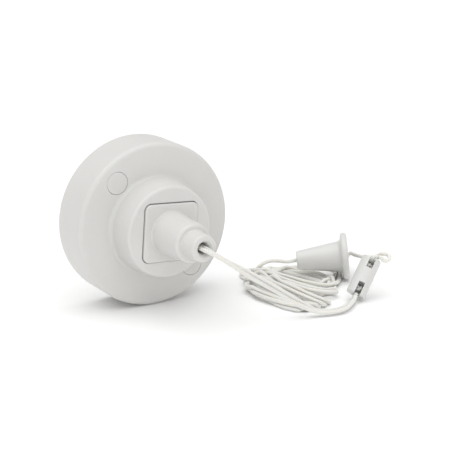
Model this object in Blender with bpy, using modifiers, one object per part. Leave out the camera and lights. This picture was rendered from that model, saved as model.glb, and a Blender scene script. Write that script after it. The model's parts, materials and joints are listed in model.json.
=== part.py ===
"""Ceiling pull cord switch, lying on its rim with its cord wound in a hank beside it.

Metres, +Z up. The switch's axis is parallel to Y: the ceiling side faces +Y and the cord leaves the
nozzle towards -Y. The origin is under the middle of the switch, on the surface that it stands on.
Inside the switch, (u, v, w) are its own millimetres: w runs along the axis towards the nozzle, from
the front face of the round cover, u to the right and v up as seen from below a ceiling.
"""

import math

import bmesh
import bpy
import numpy as np
from mathutils import Matrix, Vector

MM = 0.001

# Cover
SKIRT_R = 39.8
SKIRT_SIDES = 48
EDGE_R = 2.2
WALL = 2.0
BACK_W = -22.2
TURRET_FOOT_R = 23.2
TURRET_TOP_R = 22.0
TURRET_W = 14.2
FILLET_R = 2.0
WINDOW = 28.6
# Nozzle moulding
PLATE = 27.6
PLATE_W = 15.3
PLATE_CORNER_R = 3.0
CONE_FOOT_R = 10.15
CONE_TOP_R = 9.2
CONE_W = 36.05
NOSE_FOOT_R = 6.55
NOSE_TOP_R = 6.35
NOSE_W = 45.3
HOLE_R = 2.45
FUNNEL_R = 4.6
CAVITY_R = 6.9
CAVITY_END_W = 33.0
STOP_R, STOP_W = 5.8, 11.1  # the plunger's flange rests on this shoulder
BOX = 30.0
BOX_WALL = 1.6
BOX_BACK_W = -9.6
# Fixing
FIXING_PITCH_R = 30.15  # half of the standard 60.3 mm between ceiling box lugs
CAP_R = 5.3
CAP_ANGLE = 135.0
# Mechanism
REAR_SCREWS = ((-11.0, 11.0), (-11.0, -11.0))
MODULE_SCREW_V = 24.6
TRAVEL = 8.0
WHEEL_V, WHEEL_W = -4.0, -1.0
WHEEL_R = 6.0
ARM_V, ARM_W = -8.9, 8.4
PAWL_V, PAWL_W = 3.7, 7.2
# Placing
ROLL = math.radians(-4.4)
AXIS_Z = SKIRT_R * math.cos(math.pi / SKIRT_SIDES)
FACE_Y = 11.1
# Cord
CORD_D = 2.0
PAIR_GAP = 0.3

for old in list(bpy.data.objects):
    bpy.data.objects.remove(old, do_unlink=True)

PARTS = bpy.data.collections.new("pull_cord_switch")
CUTTERS = bpy.data.collections.new("cutters")
bpy.context.scene.collection.children.link(PARTS)
bpy.context.scene.collection.children.link(CUTTERS)


def material(name, colour, roughness, metallic=0.0):
    made = bpy.data.materials.new(name)
    made.use_nodes = True
    shader = made.node_tree.nodes["Principled BSDF"]
    shader.inputs["Base Color"].default_value = (*colour, 1.0)
    shader.inputs["Roughness"].default_value = roughness
    shader.inputs["Metallic"].default_value = metallic
    return made


WHITE = material("white_moulding", (0.80, 0.80, 0.78), 0.38)
NATURAL = material("natural_nylon", (0.78, 0.76, 0.70), 0.45)
BRASS = material("brass", (0.72, 0.54, 0.26), 0.32, 1.0)
STEEL = material("zinc_plated_steel", (0.62, 0.63, 0.64), 0.30, 1.0)
BRONZE = material("phosphor_bronze", (0.70, 0.45, 0.28), 0.30, 1.0)
SILVER = material("silver_contact", (0.85, 0.84, 0.80), 0.25, 1.0)
CORD = material("braided_cord", (0.86, 0.85, 0.80), 0.75)


def empty(name, matrix, parent=None):
    made = bpy.data.objects.new(name, None)
    PARTS.objects.link(made)
    if parent:
        made.parent = parent
    made.matrix_basis = matrix
    return made


SWITCH_MATRIX = (
    Matrix.Translation((0, FACE_Y * MM, AXIS_Z * MM))
    @ Matrix.Rotation(math.pi / 2, 4, "X")
    @ Matrix.Rotation(ROLL, 4, "Z")
)
SWITCH = empty("switch_axis", SWITCH_MATRIX)


def mesh_object(name, bm, mat, parent=SWITCH, at=(0, 0, 0), collection=None):
    """An object of this bmesh, whose points are in millimetres about at, under the parent."""
    mesh = bpy.data.meshes.new(name)
    bmesh.ops.scale(bm, vec=(MM, MM, MM), verts=bm.verts)
    bm.to_mesh(mesh)
    bm.free()
    made = bpy.data.objects.new(name, mesh)
    (collection or PARTS).objects.link(made)
    if mat:
        mesh.materials.append(mat)
    made.parent = parent
    made.location = Vector(at) * MM
    return made


def apply_all(obj):
    """The object's modifiers made part of its mesh."""
    bpy.context.view_layer.update()
    graph = bpy.context.evaluated_depsgraph_get()
    mesh = bpy.data.meshes.new_from_object(obj.evaluated_get(graph))
    old = obj.data
    obj.modifiers.clear()
    if obj.type == "CURVE":
        bm = bmesh.new()
        bm.from_mesh(mesh)
        bmesh.ops.remove_doubles(bm, verts=bm.verts, dist=1e-6)
        bmesh.ops.recalc_face_normals(bm, faces=bm.faces)
        bm.to_mesh(mesh)
        bm.free()
        made = bpy.data.objects.new(obj.name, mesh)
        for collection in obj.users_collection:
            collection.objects.link(made)
        made.parent = obj.parent
        made.matrix_basis = obj.matrix_basis.copy()
        name = obj.name
        bpy.data.objects.remove(obj)
        made.name = name
        return made
    mesh.name = old.name
    obj.data = mesh
    return obj


def as_cutter(obj):
    obj.hide_render = True
    obj.display_type = "WIRE"
    for collection in list(obj.users_collection):
        collection.objects.unlink(obj)
    CUTTERS.objects.link(obj)
    return obj


def boolean(obj, other, operation):
    made = obj.modifiers.new(operation.lower() + "_" + other.name, "BOOLEAN")
    made.operation = operation
    made.solver = "EXACT"
    made.object = other
    as_cutter(other)
    return obj


def cut(obj, *others):
    for other in others:
        boolean(obj, other, "DIFFERENCE")
    return obj


def join(obj, *others):
    for other in others:
        boolean(obj, other, "UNION")
    return obj


def smooth(obj, angle=35):
    mesh = obj.data
    mesh.shade_smooth()
    mesh.set_sharp_from_angle(angle=math.radians(angle))
    return obj


def arc(cx, cy, r, start, end, steps):
    """Points on an arc, ends included, from start to end degrees."""
    return [
        (
            cx + r * math.cos(math.radians(start + (end - start) * i / steps)),
            cy + r * math.sin(math.radians(start + (end - start) * i / steps)),
        )
        for i in range(steps + 1)
    ]


def turned(name, profile, sides, mat, parent=SWITCH, at=(0, 0, 0), closed=False, turn=0.0, axis="W"):
    """The (radius, height) profile turned about the w axis, or about u for axis U. An open profile
    starts and ends on the axis and runs down its outer side. A closed one is a ring's section."""
    bm = bmesh.new()
    points = [bm.verts.new((r, 0, h)) for r, h in profile]
    for a, b in zip(points, points[1:]):
        bm.edges.new((a, b))
    if closed:
        bm.edges.new((points[-1], points[0]))
    bmesh.ops.rotate(bm, verts=bm.verts, matrix=Matrix.Rotation(turn, 3, "Z"))
    made = mesh_object(name, bm, mat, parent, at)
    screw = made.modifiers.new("turn", "SCREW")
    screw.axis = "Z"
    screw.angle = 2 * math.pi
    screw.steps = screw.render_steps = sides
    screw.use_merge_vertices = True
    screw.merge_threshold = 1e-6
    screw.use_smooth_shade = True
    if axis == "U":
        made.rotation_euler = (0, math.pi / 2, 0)
    return made


def block(name, size, at, mat=None, parent=SWITCH, corner=0.0, steps=3, along="W"):
    """A box of this size centred at a point, with its four edges along one direction rounded."""
    bm = bmesh.new()
    bmesh.ops.create_cube(bm, size=1.0)
    bmesh.ops.scale(bm, vec=size, verts=bm.verts)
    if corner:
        k = "UVW".index(along)
        edges = [
            e
            for e in bm.edges
            if all(abs(e.verts[0].co[i] - e.verts[1].co[i]) < 1e-9 for i in range(3) if i != k)
        ]
        bmesh.ops.bevel(bm, geom=edges, offset=corner, segments=steps, affect="EDGES", profile=0.5)
    return mesh_object(name, bm, mat, parent, at)


def rod(name, radius, low, high, mat=None, parent=SWITCH, at=(0, 0, 0), sides=16, axis="W", turn=0.0):
    """A cylinder between two heights along w, or along u or v."""
    bm = bmesh.new()
    bmesh.ops.create_cone(
        bm,
        cap_ends=True,
        segments=sides,
        radius1=radius,
        radius2=radius,
        depth=high - low,
        matrix=Matrix.Translation((0, 0, (high + low) / 2)) @ Matrix.Rotation(turn, 4, "Z"),
    )
    made = mesh_object(name, bm, mat, parent, at)
    if axis == "U":
        made.rotation_euler = (0, math.pi / 2, 0)
    if axis == "V":
        made.rotation_euler = (-math.pi / 2, 0, 0)
    return made


def polar(radius, degrees):
    return radius * math.cos(math.radians(degrees)), radius * math.sin(math.radians(degrees))


# ---------------------------------------------------------------- cover
profile = [(0, TURRET_W)]
profile += arc(TURRET_TOP_R - 1.0, TURRET_W - 1.0, 1.0, 90, 5, 2)
profile += arc(TURRET_FOOT_R + FILLET_R, FILLET_R, FILLET_R, 184, 270, 3)
profile += arc(SKIRT_R - EDGE_R, -EDGE_R, EDGE_R, 90, 0, 3)
profile += [(SKIRT_R, BACK_W), (SKIRT_R - WALL, BACK_W)]
profile += [(SKIRT_R - WALL, -WALL - 1.0), (SKIRT_R - WALL - 1.0, -WALL)]
profile += [(TURRET_FOOT_R - WALL, -WALL), (TURRET_TOP_R - WALL, TURRET_W - WALL), (0, TURRET_W - WALL)]
half_side = math.pi / SKIRT_SIDES
cover = turned("cover", profile, SKIRT_SIDES, WHITE, turn=-math.pi / 2 - ROLL - half_side)
cut(cover, block("window_cut", (WINDOW, WINDOW, 8), (0, 0, TURRET_W - 1), corner=3.4))
for k, side in enumerate(("upper", "lower")):
    u, v = polar(FIXING_PITCH_R, CAP_ANGLE + 180 * k)
    join(cover, rod(f"boss_{side}", 7.2, -9.0, -1.0, at=(u, v, 0), sides=20))
    cut(cover, rod(f"recess_{side}", CAP_R + 0.25, -5.5, 1.0, at=(u, v, 0), sides=24))
    cut(cover, rod(f"screw_way_{side}", 2.25, -10.0, -4.0, at=(u, v, 0), sides=12))
for k, v in enumerate((MODULE_SCREW_V, -MODULE_SCREW_V)):
    join(cover, rod(f"module_boss_{k}", 3.0, -9.6, -1.0, at=(0, v, 0), sides=16))
    cut(cover, rod(f"module_way_{k}", 1.35, -10.5, -3.0, at=(0, v, 0), sides=12))
# Four ribs inside the skirt keep the base plate square to the cover.
for k in range(4):
    u, v = polar(SKIRT_R - WALL - 0.9, 20 + 90 * k)
    rib = block(f"rib_{k}", (2.4, 1.6, 12.8), (u, v, -WALL - 5.9))
    rib.rotation_euler = (0, 0, math.radians(20 + 90 * k))
    join(cover, rib)
apply_all(cover)
smooth(cover)

# ---------------------------------------------------------------- caps and fixing screws
for k, side in enumerate(("upper", "lower")):
    u, v = polar(FIXING_PITCH_R, CAP_ANGLE + 180 * k)
    cap = turned(
        f"screw_cap_{side}",
        [(0, 0), (CAP_R - 0.3, 0), (CAP_R, -0.3), (CAP_R, -1.2), (CAP_R - 0.5, -1.4), (CAP_R - 0.5, -2.9)]
        + [(CAP_R - 1.4, -2.9), (CAP_R - 1.4, -1.4), (0, -1.4)],
        24,
        WHITE,
        at=(u, v, 0),
    )
    apply_all(cap)
    smooth(cap)
    screw = turned(
        f"fixing_screw_{side}",
        [(0, -3.2), (2.6, -3.2), (3.5, -3.9), (3.7, -5.2), (1.75, -5.2), (1.75, -20.6), (1.0, -21.8), (0, -21.8)],
        16,
        STEEL,
        at=(u, v, 0),
    )
    cut(screw, block(f"slot_{side}", (8, 0.9, 2.2), (u, v, -3.2)))
    apply_all(screw)
    smooth(screw)

# ---------------------------------------------------------------- base plate
PLATE_R = SKIRT_R - WALL - 0.45
base = turned(
    "base_plate",
    [(0, BACK_W + 2.4), (PLATE_R - 2.0, BACK_W + 2.4), (PLATE_R - 1.8, BACK_W + 7.2), (PLATE_R - 0.1, BACK_W + 7.2)]
    + [(PLATE_R, BACK_W + 5.0), (PLATE_R, BACK_W + 0.4), (PLATE_R - 0.4, BACK_W), (0, BACK_W)],
    SKIRT_SIDES,
    WHITE,
    turn=-math.pi / 2 - ROLL - half_side,
)
for k, side in enumerate(("upper", "lower")):
    u, v = polar(FIXING_PITCH_R, CAP_ANGLE + 180 * k)
    join(base, rod(f"pillar_{side}", 5.4, BACK_W + 1.0, -9.4, at=(u, v, 0), sides=16))
    cut(base, rod(f"pillar_way_{side}", 2.15, BACK_W - 1, -8.0, at=(u, v, 0), sides=12))
# Cable entry from the ceiling box, with a raised lip on the inside.
join(base, turned("entry_lip", [(0, -17.2), (12.2, -17.2), (12.2, -21.0), (0, -21.0)], 24, None))
cut(base, rod("entry_way", 10.5, BACK_W - 1, -16.0, sides=24))
# Slotted holes at 50.8 mm centres for smaller boxes.
for k in range(2):
    u, v = polar(25.4, 45 + 180 * k)
    slot = block(f"box_slot_{k}", (7.5, 4.2, 6), (u, v, BACK_W + 1), corner=2.05, steps=4)
    slot.rotation_euler = (0, 0, math.radians(45 + 180 * k))
    cut(base, slot)
# Ribs under the mechanism, clear of its terminals.
for k, (u, v, du, dv) in enumerate(((0, 20.5, 26, 1.4), (0, -20.5, 26, 1.4))):
    join(base, block(f"base_rib_{k}", (du, dv, 3.4), (u, v, BACK_W + 3.6)))
# Cable openings through the locating wall, where a cable runs along the ceiling.
for k in range(2):
    cut(base, block(f"side_entry_{k}", (9, 6, 7), ((PLATE_R - 1) * (1 - 2 * k), 0, BACK_W + 6.2)))
apply_all(base)
smooth(base)

# ---------------------------------------------------------------- nozzle moulding, which holds the mechanism
body = block("mechanism_housing", (BOX, BOX, 11.0 - BOX_BACK_W), (0, 0, (11.0 + BOX_BACK_W) / 2), WHITE, corner=3.2, steps=3)
plate = block("plate", (PLATE, PLATE, 5.0), (0, 0, PLATE_W - 2.5), corner=PLATE_CORNER_R, steps=4)
top_edges = plate.modifiers.new("edge", "BEVEL")
top_edges.width = 0.55 * MM
top_edges.segments = 2
top_edges.limit_method = "ANGLE"
top_edges.angle_limit = math.radians(60)
join(body, plate)
nozzle = [(0, NOSE_W)]
nozzle += arc(NOSE_TOP_R - 1.1, NOSE_W - 1.1, 1.1, 90, 2, 2)
nozzle += [(NOSE_FOOT_R, CONE_W + 0.4)]
nozzle += [(NOSE_FOOT_R + 0.4, CONE_W)]
nozzle += arc(CONE_TOP_R - 1.5, CONE_W - 1.5, 1.5, 90, 3, 3)
nozzle += [(CONE_FOOT_R, PLATE_W + 0.7), (CONE_FOOT_R + 0.7, PLATE_W - 0.1), (CONE_FOOT_R + 0.7, PLATE_W - 1.0), (0, PLATE_W - 1.0)]
join(body, turned("nozzle", nozzle, 30, None))
join(body, turned("nozzle_root", [(0, 13.0), (9.4, 13.0), (9.4, 9.6), (0, 9.6)], 20, None))
cut(body, block("box_room", (BOX - 2 * BOX_WALL, BOX - 2 * BOX_WALL, 22), (0, 0, -0.6), corner=1.8, steps=2))
bore = [(0, NOSE_W + 1), (FUNNEL_R + 0.6, NOSE_W + 1), (FUNNEL_R, NOSE_W), (3.5, NOSE_W - 1.1), (HOLE_R + 0.2, NOSE_W - 2.4)]
bore += [(HOLE_R, NOSE_W - 3.4), (HOLE_R, CAVITY_END_W + 1.0), (CAVITY_R - 1.0, CAVITY_END_W), (CAVITY_R, CAVITY_END_W - 1.0)]
bore += [(CAVITY_R, STOP_W), (STOP_R, STOP_W), (STOP_R, 8.0), (0, 8.0)]
cut(body, turned("cord_way", bore, 20, None))
# Two posts take the screws of the rear moulding, and three notches let the contact strips in.
for k, (u, v) in enumerate(REAR_SCREWS):
    join(body, rod(f"post_{k}", 2.2, BOX_BACK_W, 10.8, at=(u, v, 0), sides=14))
    cut(body, rod(f"post_way_{k}", 1.25, BOX_BACK_W - 1, -1.5, at=(u, v, 0), sides=12))
for k, (u, v) in enumerate(((14.5, 8.6), (14.5, -8.6), (-14.5, -7.2))):
    cut(body, block(f"strip_notch_{k}", (6, 3.6, 3.4), (u, v, BOX_BACK_W + 0.6)))
apply_all(body)
smooth(body)

# ---------------------------------------------------------------- rear moulding with terminal bays
REAR_TOP = BOX_BACK_W - 0.35
REAR_T = 2.4
rear = block("mechanism_rear", (50, 30, REAR_T), (0, 0, REAR_TOP - REAR_T / 2), NATURAL, corner=3.0, steps=3)
BAYS = {"l1": (20.0, 8.6), "l2": (20.0, -8.6), "common": (-20.0, -7.2), "loop": (-20.0, 7.2)}
REAR_BACK = REAR_TOP - REAR_T
TERMINAL_W = REAR_BACK - 3.0
for name, (u, v) in BAYS.items():
    join(rear, block(f"bay_{name}", (9.4, 11.4, 6.8), (u, v, REAR_BACK - 3.1)))
for name, (u, v) in BAYS.items():
    side = math.copysign(1, u)
    cut(rear, block(f"bay_room_{name}", (7.2, 9.2, 8.0), (u, v, REAR_BACK - 4.6)))
    # The wire comes in at the outer side, and the contact strip through the floor.
    cut(rear, block(f"wire_way_{name}", (5, 4.6, 6.0), (u + side * 4.4, v, REAR_BACK - 4.4)))
    if name != "loop":
        cut(rear, block(f"strip_way_{name}", (1.4, 3.4, 6.0), (u - side * 2.95, v, REAR_TOP - 2.2)))
# Two ears hold the axle of the ratchet wheel and the pivot of the contact arm.
for k, u in enumerate((-7.4, 7.4)):
    join(rear, block(f"ear_{k}", (2.2, 8.0, 20.6), (u, -6.6, REAR_TOP + 9.9)))
    cut(rear, block(f"ear_way_{k}", (4, 3.8, 3.2), (u, -7.9, REAR_TOP + 1.2)))
cut(rear, rod("axle_way", 1.3, -12, 12, at=(0, WHEEL_V, WHEEL_W), sides=16, axis="U"))
cut(rear, rod("pivot_way", 1.05, -12, 12, at=(0, ARM_V, ARM_W), sides=16, axis="U"))
for k, (u, v) in enumerate(REAR_SCREWS):
    cut(rear, rod(f"rear_screw_way_{k}", 1.3, REAR_TOP - 5, REAR_TOP + 2, at=(u, v, 0), sides=12))
# A lug on each side takes a screw into the cover.
for k, v in enumerate((MODULE_SCREW_V, -MODULE_SCREW_V)):
    join(rear, block(f"lug_{k}", (8.0, 15.0, REAR_T), (0, v - math.copysign(3.5, v), REAR_TOP - REAR_T / 2), corner=1.6, steps=2))
    cut(rear, rod(f"lug_way_{k}", 1.5, REAR_TOP - 5, REAR_TOP + 2, at=(0, v, 0), sides=12))
apply_all(rear)
smooth(rear)

# ---------------------------------------------------------------- plunger that the cord pulls
plunger_profile = [(0, 31.2), (1.6, 31.2), (2.2, 30.6), (2.2, 13.2), (6.2, 13.2), (6.2, 11.4), (3.4, 11.4), (3.4, 9.6), (0, 9.6)]
plunger = turned("plunger", plunger_profile, 20, NATURAL)
join(plunger, block("pull_bar", (4.4, 2.6, 16.0), (0, PAWL_V, 3.4)))
join(plunger, block("pull_bar_root", (4.4, 5.4, 2.6), (0, PAWL_V - 1.4, 10.4)))
cut(plunger, rod("cord_eye", 1.3, -4, 4, at=(0, 0, 28.4), sides=12, axis="U"))
cut(plunger, block("pawl_slot", (2.1, 6, 10.0), (0, PAWL_V, PAWL_W - 3.0)))
cut(plunger, rod("pawl_pin_hole", 0.9, -4, 4, at=(0, PAWL_V, PAWL_W), sides=12, axis="U"))
apply_all(plunger)
smooth(plunger)

PAWL = empty("pawl_axis", Matrix.Translation((0, PAWL_V * MM, PAWL_W * MM)), SWITCH)
pawl = rod("pawl", 1.7, -0.75, 0.75, NATURAL, parent=PAWL, sides=16, axis="U")
finger = block("pawl_finger", (1.5, 1.3, 5.0), (0, -0.2, -3.2), parent=PAWL)
hook = block("pawl_hook", (1.5, 1.2, 1.3), (0, -0.9, -5.2), parent=PAWL)
join(pawl, finger, hook)
cut(pawl, rod("pawl_way", 0.9, -2, 2, parent=PAWL, sides=12, axis="U"))
apply_all(pawl)
smooth(pawl)
pawl_pin = rod("pawl_pin", 0.55, -2.6, 2.6, STEEL, parent=PAWL, sides=12, axis="U")
smooth(pawl_pin)

# ---------------------------------------------------------------- return spring
TURNS, SPRING_R, WIRE_R = 6.5, 4.9, 0.4
curve = bpy.data.curves.new("return_spring", "CURVE")
curve.dimensions = "3D"
curve.bevel_depth = WIRE_R * MM
curve.bevel_resolution = 1
curve.use_fill_caps = True
line = curve.splines.new("POLY")
low, high = 13.2 + 0.3 + WIRE_R, CAVITY_END_W - 1.6 - WIRE_R
count = int(TURNS * 10)
line.points.add(count)
for i, point in enumerate(line.points):
    t = i / count
    # The end turns lie close, as on a ground spring.
    rise = t + 0.10 * math.sin(2 * math.pi * t) / (2 * math.pi) * -6
    angle = 2 * math.pi * TURNS * t
    point.co = (SPRING_R * math.cos(angle) * MM, SPRING_R * math.sin(angle) * MM, (low + (high - low) * rise) * MM, 1)
spring = bpy.data.objects.new("return_spring", curve)
PARTS.objects.link(spring)
curve.materials.append(STEEL)
spring.parent = SWITCH

# ---------------------------------------------------------------- ratchet wheel, its axle and cam
WHEEL = empty("wheel_axis", Matrix.Translation((0, WHEEL_V * MM, WHEEL_W * MM)), SWITCH)


def toothed(name, radius, root, teeth, low, high, mat, phase=0.0):
    """A ratchet wheel between two places along u, about the wheel's axis, with undercut teeth."""
    curve = bpy.data.curves.new(name, "CURVE")
    curve.dimensions = "2D"
    curve.fill_mode = "BOTH"
    curve.extrude = (high - low) / 2 * MM
    line = curve.splines.new("POLY")
    points = []
    for k in range(teeth):
        base_angle = 2 * math.pi * k / teeth + math.radians(phase)
        for part, r in ((0.0, radius), (0.10, radius - 0.15), (0.16, root), (0.55, root + (radius - root) * 0.35), (0.85, root + (radius - root) * 0.85)):
            angle = base_angle + part * 2 * math.pi / teeth
            points.append((r * math.cos(angle), r * math.sin(angle)))
    line.points.add(len(points) - 1)
    for point, (x, y) in zip(line.points, points):
        point.co = (x * MM, y * MM, 0, 1)
    line.use_cyclic_u = True
    made = bpy.data.objects.new(name, curve)
    PARTS.objects.link(made)
    made.parent = WHEEL
    made.matrix_basis = Matrix.Translation(((high + low) / 2 * MM, 0, 0)) @ Matrix.Rotation(math.pi / 2, 4, "Y")
    made = apply_all(made)
    made.data.materials.append(mat)
    return made


wheel = toothed("ratchet_wheel", WHEEL_R, 4.7, 8, -1.5, 1.5, NATURAL)
cam = toothed("cam", 4.3, 3.5, 4, 1.1, 5.2, None, phase=11.3)
join(wheel, cam)
join(wheel, rod("hub", 2.6, -4.4, -1.1, parent=WHEEL, sides=20, axis="U", turn=0.07))
cut(wheel, rod("hub_way", 1.3, -8, 8, parent=WHEEL, sides=16, axis="U", turn=0.03))
apply_all(wheel)
smooth(wheel)
axle = rod("wheel_axle", 1.0, -11.6, 11.6, STEEL, at=(0, WHEEL_V, WHEEL_W), sides=16, axis="U")
smooth(axle)

# ---------------------------------------------------------------- contact arm, which rocks about its pivot
ARM = empty("arm_axis", Matrix.Translation((0, ARM_V * MM, ARM_W * MM)), SWITCH)
ARM_U = 3.6
arm = rod("contact_arm", 1.7, ARM_U - 1.9, ARM_U + 1.9, BRONZE, parent=ARM, sides=16, axis="U")
blade = block("arm_blade", (3.4, 0.9, 15.2), (ARM_U, -1.0, -8.0), parent=ARM)
tip = rod("arm_tip", 1.2, -1.9, -0.6, parent=ARM, at=(ARM_U, 0, -13.9), sides=14, axis="V")
join(arm, blade, tip)
cut(arm, rod("arm_way", 1.05, -4, 10, parent=ARM, sides=14, axis="U"))
apply_all(arm)
smooth(arm)
pivot = rod("arm_pivot_pin", 0.75, -8.6, 8.6, STEEL, at=(0, ARM_V, ARM_W), sides=12, axis="U")
smooth(pivot)

STRIP_T = 0.6
STRIP_W = REAR_TOP + 0.7


def strip(name, runs, button=None):
    """A contact strip bent from sheet: runs are boxes by their low and high corners, which overlap at its bends."""
    pieces = []
    for i, (low, high) in enumerate(runs):
        size = [b - a for a, b in zip(low, high)]
        middle = [(a + b) / 2 for a, b in zip(low, high)]
        pieces.append(block(f"{name}_{i}" if i else name, size, middle, BRASS))
    join(pieces[0], *pieces[1:])
    if button:
        (u, w), low_v, high_v = button
        join(pieces[0], rod(f"{name}_button", 1.2, low_v, high_v, at=(u, 0, w), sides=14, axis="V"))
    apply_all(pieces[0])
    smooth(pieces[0])


TIP_W = ARM_W - 13.9
flat = (STRIP_W - STRIP_T / 2, STRIP_W + STRIP_T / 2)
over = (flat[0] + 1.1, flat[1] + 1.1)
tail = (REAR_BACK - 5.6, flat[1])
strip(
    "fixed_contact_l1",
    [
        ((11.2, 7.4, flat[0]), (17.35, 9.8, flat[1])),
        ((16.75, 7.4, tail[0]), (17.35, 9.8, flat[1])),
        ((11.3, -12.5, flat[0] + 0.02), (12.4, 9.6, flat[1] - 0.02)),
        ((2.7, -12.9, flat[0]), (12.2, -11.8, flat[1])),
        ((2.6, -13.0, flat[0] + 0.03), (4.6, -12.4, TIP_W + 1.0)),
    ],
    ((ARM_U, TIP_W), -12.7, -12.1),
)
strip(
    "fixed_contact_l2",
    [
        ((2.6, -9.8, over[0]), (17.35, -7.4, over[1])),
        ((16.75, -9.8, tail[0]), (17.35, -7.4, over[1])),
        ((2.6, -8.6, over[0]), (4.6, -8.0, TIP_W + 1.0)),
    ],
    ((ARM_U, TIP_W), -9.15, -8.3),
)
strip(
    "common_strip",
    [
        ((-17.35, -8.4, flat[0]), (-5.0, -6.0, flat[1])),
        ((-17.35, -8.4, tail[0]), (-16.75, -6.0, flat[1])),
        ((-5.6, -8.4, flat[0]), (-5.0, -6.0, ARM_W - 1.1)),
    ],
)

# ---------------------------------------------------------------- terminals and their screws
for name, (u, v) in BAYS.items():
    u += math.copysign(0.4, u)
    terminal = block(f"terminal_{name}", (5.2, 7.4, 4.6), (u, v, TERMINAL_W), BRASS)
    cut(terminal, rod(f"terminal_wire_way_{name}", 1.5, u - 6, u + 6, at=(0, v, TERMINAL_W + 0.3), sides=12, axis="U"))
    cut(terminal, rod(f"terminal_screw_way_{name}", 1.6, TERMINAL_W - 5.0, TERMINAL_W, at=(u, v, 0), sides=12))
    apply_all(terminal)
    smooth(terminal)
    screw = turned(
        f"terminal_screw_{name}",
        [(0, 2.6), (0.8, 2.6), (1.25, 2.1), (1.25, -0.1), (2.0, -0.1), (2.0, -1.1), (0, -1.1)],
        12,
        STEEL,
        at=(u, v, TERMINAL_W - 2.4),
    )
    cut(screw, block(f"terminal_slot_{name}", (5, 0.7, 1.4), (u, v, TERMINAL_W - 3.5)))
    apply_all(screw)
    smooth(screw)


def pan_screw(name, u, v, head_w, head_r, shank_r, length):
    """A pan head screw whose head is at the ceiling side, with a cross recess as two slots."""
    screw = turned(
        name,
        [(0, head_w + length), (0.5, head_w + length), (shank_r, head_w + length - 1.2), (shank_r, head_w)]
        + [(head_r, head_w), (head_r, head_w - 0.7), (head_r - 0.5, head_w - 1.4), (0, head_w - 1.5)],
        14,
        STEEL,
        at=(u, v, 0),
    )
    for k, size in enumerate(((head_r * 1.3, 0.6, 1.2), (0.6, head_r * 1.3, 1.2))):
        cut(screw, block(f"{name}_recess_{k}", size, (u, v, head_w - 1.5)))
    apply_all(screw)
    smooth(screw)


for side, (u, v) in zip("ab", REAR_SCREWS):
    pan_screw(f"rear_screw_{side}", u, v, REAR_TOP - REAR_T - 0.3, 2.0, 0.95, 9.0)
for side, v in zip("ab", (MODULE_SCREW_V, -MODULE_SCREW_V)):
    pan_screw(f"module_screw_{side}", 0, v, REAR_TOP - REAR_T - 0.3, 2.5, 1.05, 8.0)

# ---------------------------------------------------------------- cord: frame of the loose pieces
def spline_points(route, spacing):
    """Points this far apart on a smooth curve through the route's points, all in millimetres."""
    p = np.array(route, float)
    knots = np.concatenate([[0], np.cumsum(np.sqrt(np.linalg.norm(np.diff(p, axis=0), axis=1)))])
    first, last = 2 * p[0] - p[1], 2 * p[-1] - p[-2]
    q = np.vstack([first, p, last])
    t = np.concatenate([[-knots[1]], knots, [2 * knots[-1] - knots[-2]]])
    fine = []
    for i in range(1, len(q) - 2):
        for s in np.linspace(t[i], t[i + 1], 40, endpoint=False):
            a1 = (t[i] - s) / (t[i] - t[i - 1]) * q[i - 1] + (s - t[i - 1]) / (t[i] - t[i - 1]) * q[i]
            a2 = (t[i + 1] - s) / (t[i + 1] - t[i]) * q[i] + (s - t[i]) / (t[i + 1] - t[i]) * q[i + 1]
            a3 = (t[i + 2] - s) / (t[i + 2] - t[i + 1]) * q[i + 1] + (s - t[i + 1]) / (t[i + 2] - t[i + 1]) * q[i + 2]
            b1 = (t[i + 1] - s) / (t[i + 1] - t[i - 1]) * a1 + (s - t[i - 1]) / (t[i + 1] - t[i - 1]) * a2
            b2 = (t[i + 2] - s) / (t[i + 2] - t[i]) * a2 + (s - t[i]) / (t[i + 2] - t[i]) * a3
            fine.append((t[i + 1] - s) / (t[i + 1] - t[i]) * b1 + (s - t[i]) / (t[i + 1] - t[i]) * b2)
    fine = np.array(fine + [p[-1]])
    run = np.concatenate([[0], np.cumsum(np.linalg.norm(np.diff(fine, axis=0), axis=1))])
    count = max(2, round(run[-1] / spacing))
    return np.stack([np.interp(np.linspace(0, run[-1], count + 1), run, fine[:, k]) for k in range(3)], 1)


def cord(name, points, diameter=CORD_D):
    curve = bpy.data.curves.new(name, "CURVE")
    curve.dimensions = "3D"
    curve.bevel_depth = diameter / 2 * MM
    curve.bevel_resolution = 2
    curve.use_fill_caps = True
    line = curve.splines.new("POLY")
    line.points.add(len(points) - 1)
    for point, at in zip(line.points, points):
        point.co = (*(np.array(at) * MM), 1)
    made = bpy.data.objects.new(name, curve)
    PARTS.objects.link(made)
    curve.materials.append(CORD)
    return made


def side_by_side(centre, sides, gap):
    """Two lines on either side of a centre line, spread along a direction that turns as it goes."""
    p = np.array(centre, float)
    along = np.gradient(p, axis=0)
    along /= np.linalg.norm(along, axis=1)[:, None]
    run = np.linspace(0, 1, len(p))
    spread = np.stack([np.interp(run, [s[0] for s in sides], [s[1][k] for s in sides]) for k in range(3)], 1)
    spread -= (spread * along).sum(1)[:, None] * along
    spread /= np.linalg.norm(spread, axis=1)[:, None]
    return p + spread * gap / 2, p - spread * gap / 2


def frame_of(at, direction, towards):
    """A matrix whose Z is the direction, and whose X is as near as it can be to another one."""
    z = Vector(direction).normalized()
    x = Vector(towards)
    x = (x - z * x.dot(z)).normalized()
    y = z.cross(x)
    made = Matrix((x, y, z)).transposed().to_4x4()
    made.translation = Vector(at) * MM
    return made


NOSE_Y = FACE_Y - NOSE_W
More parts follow.
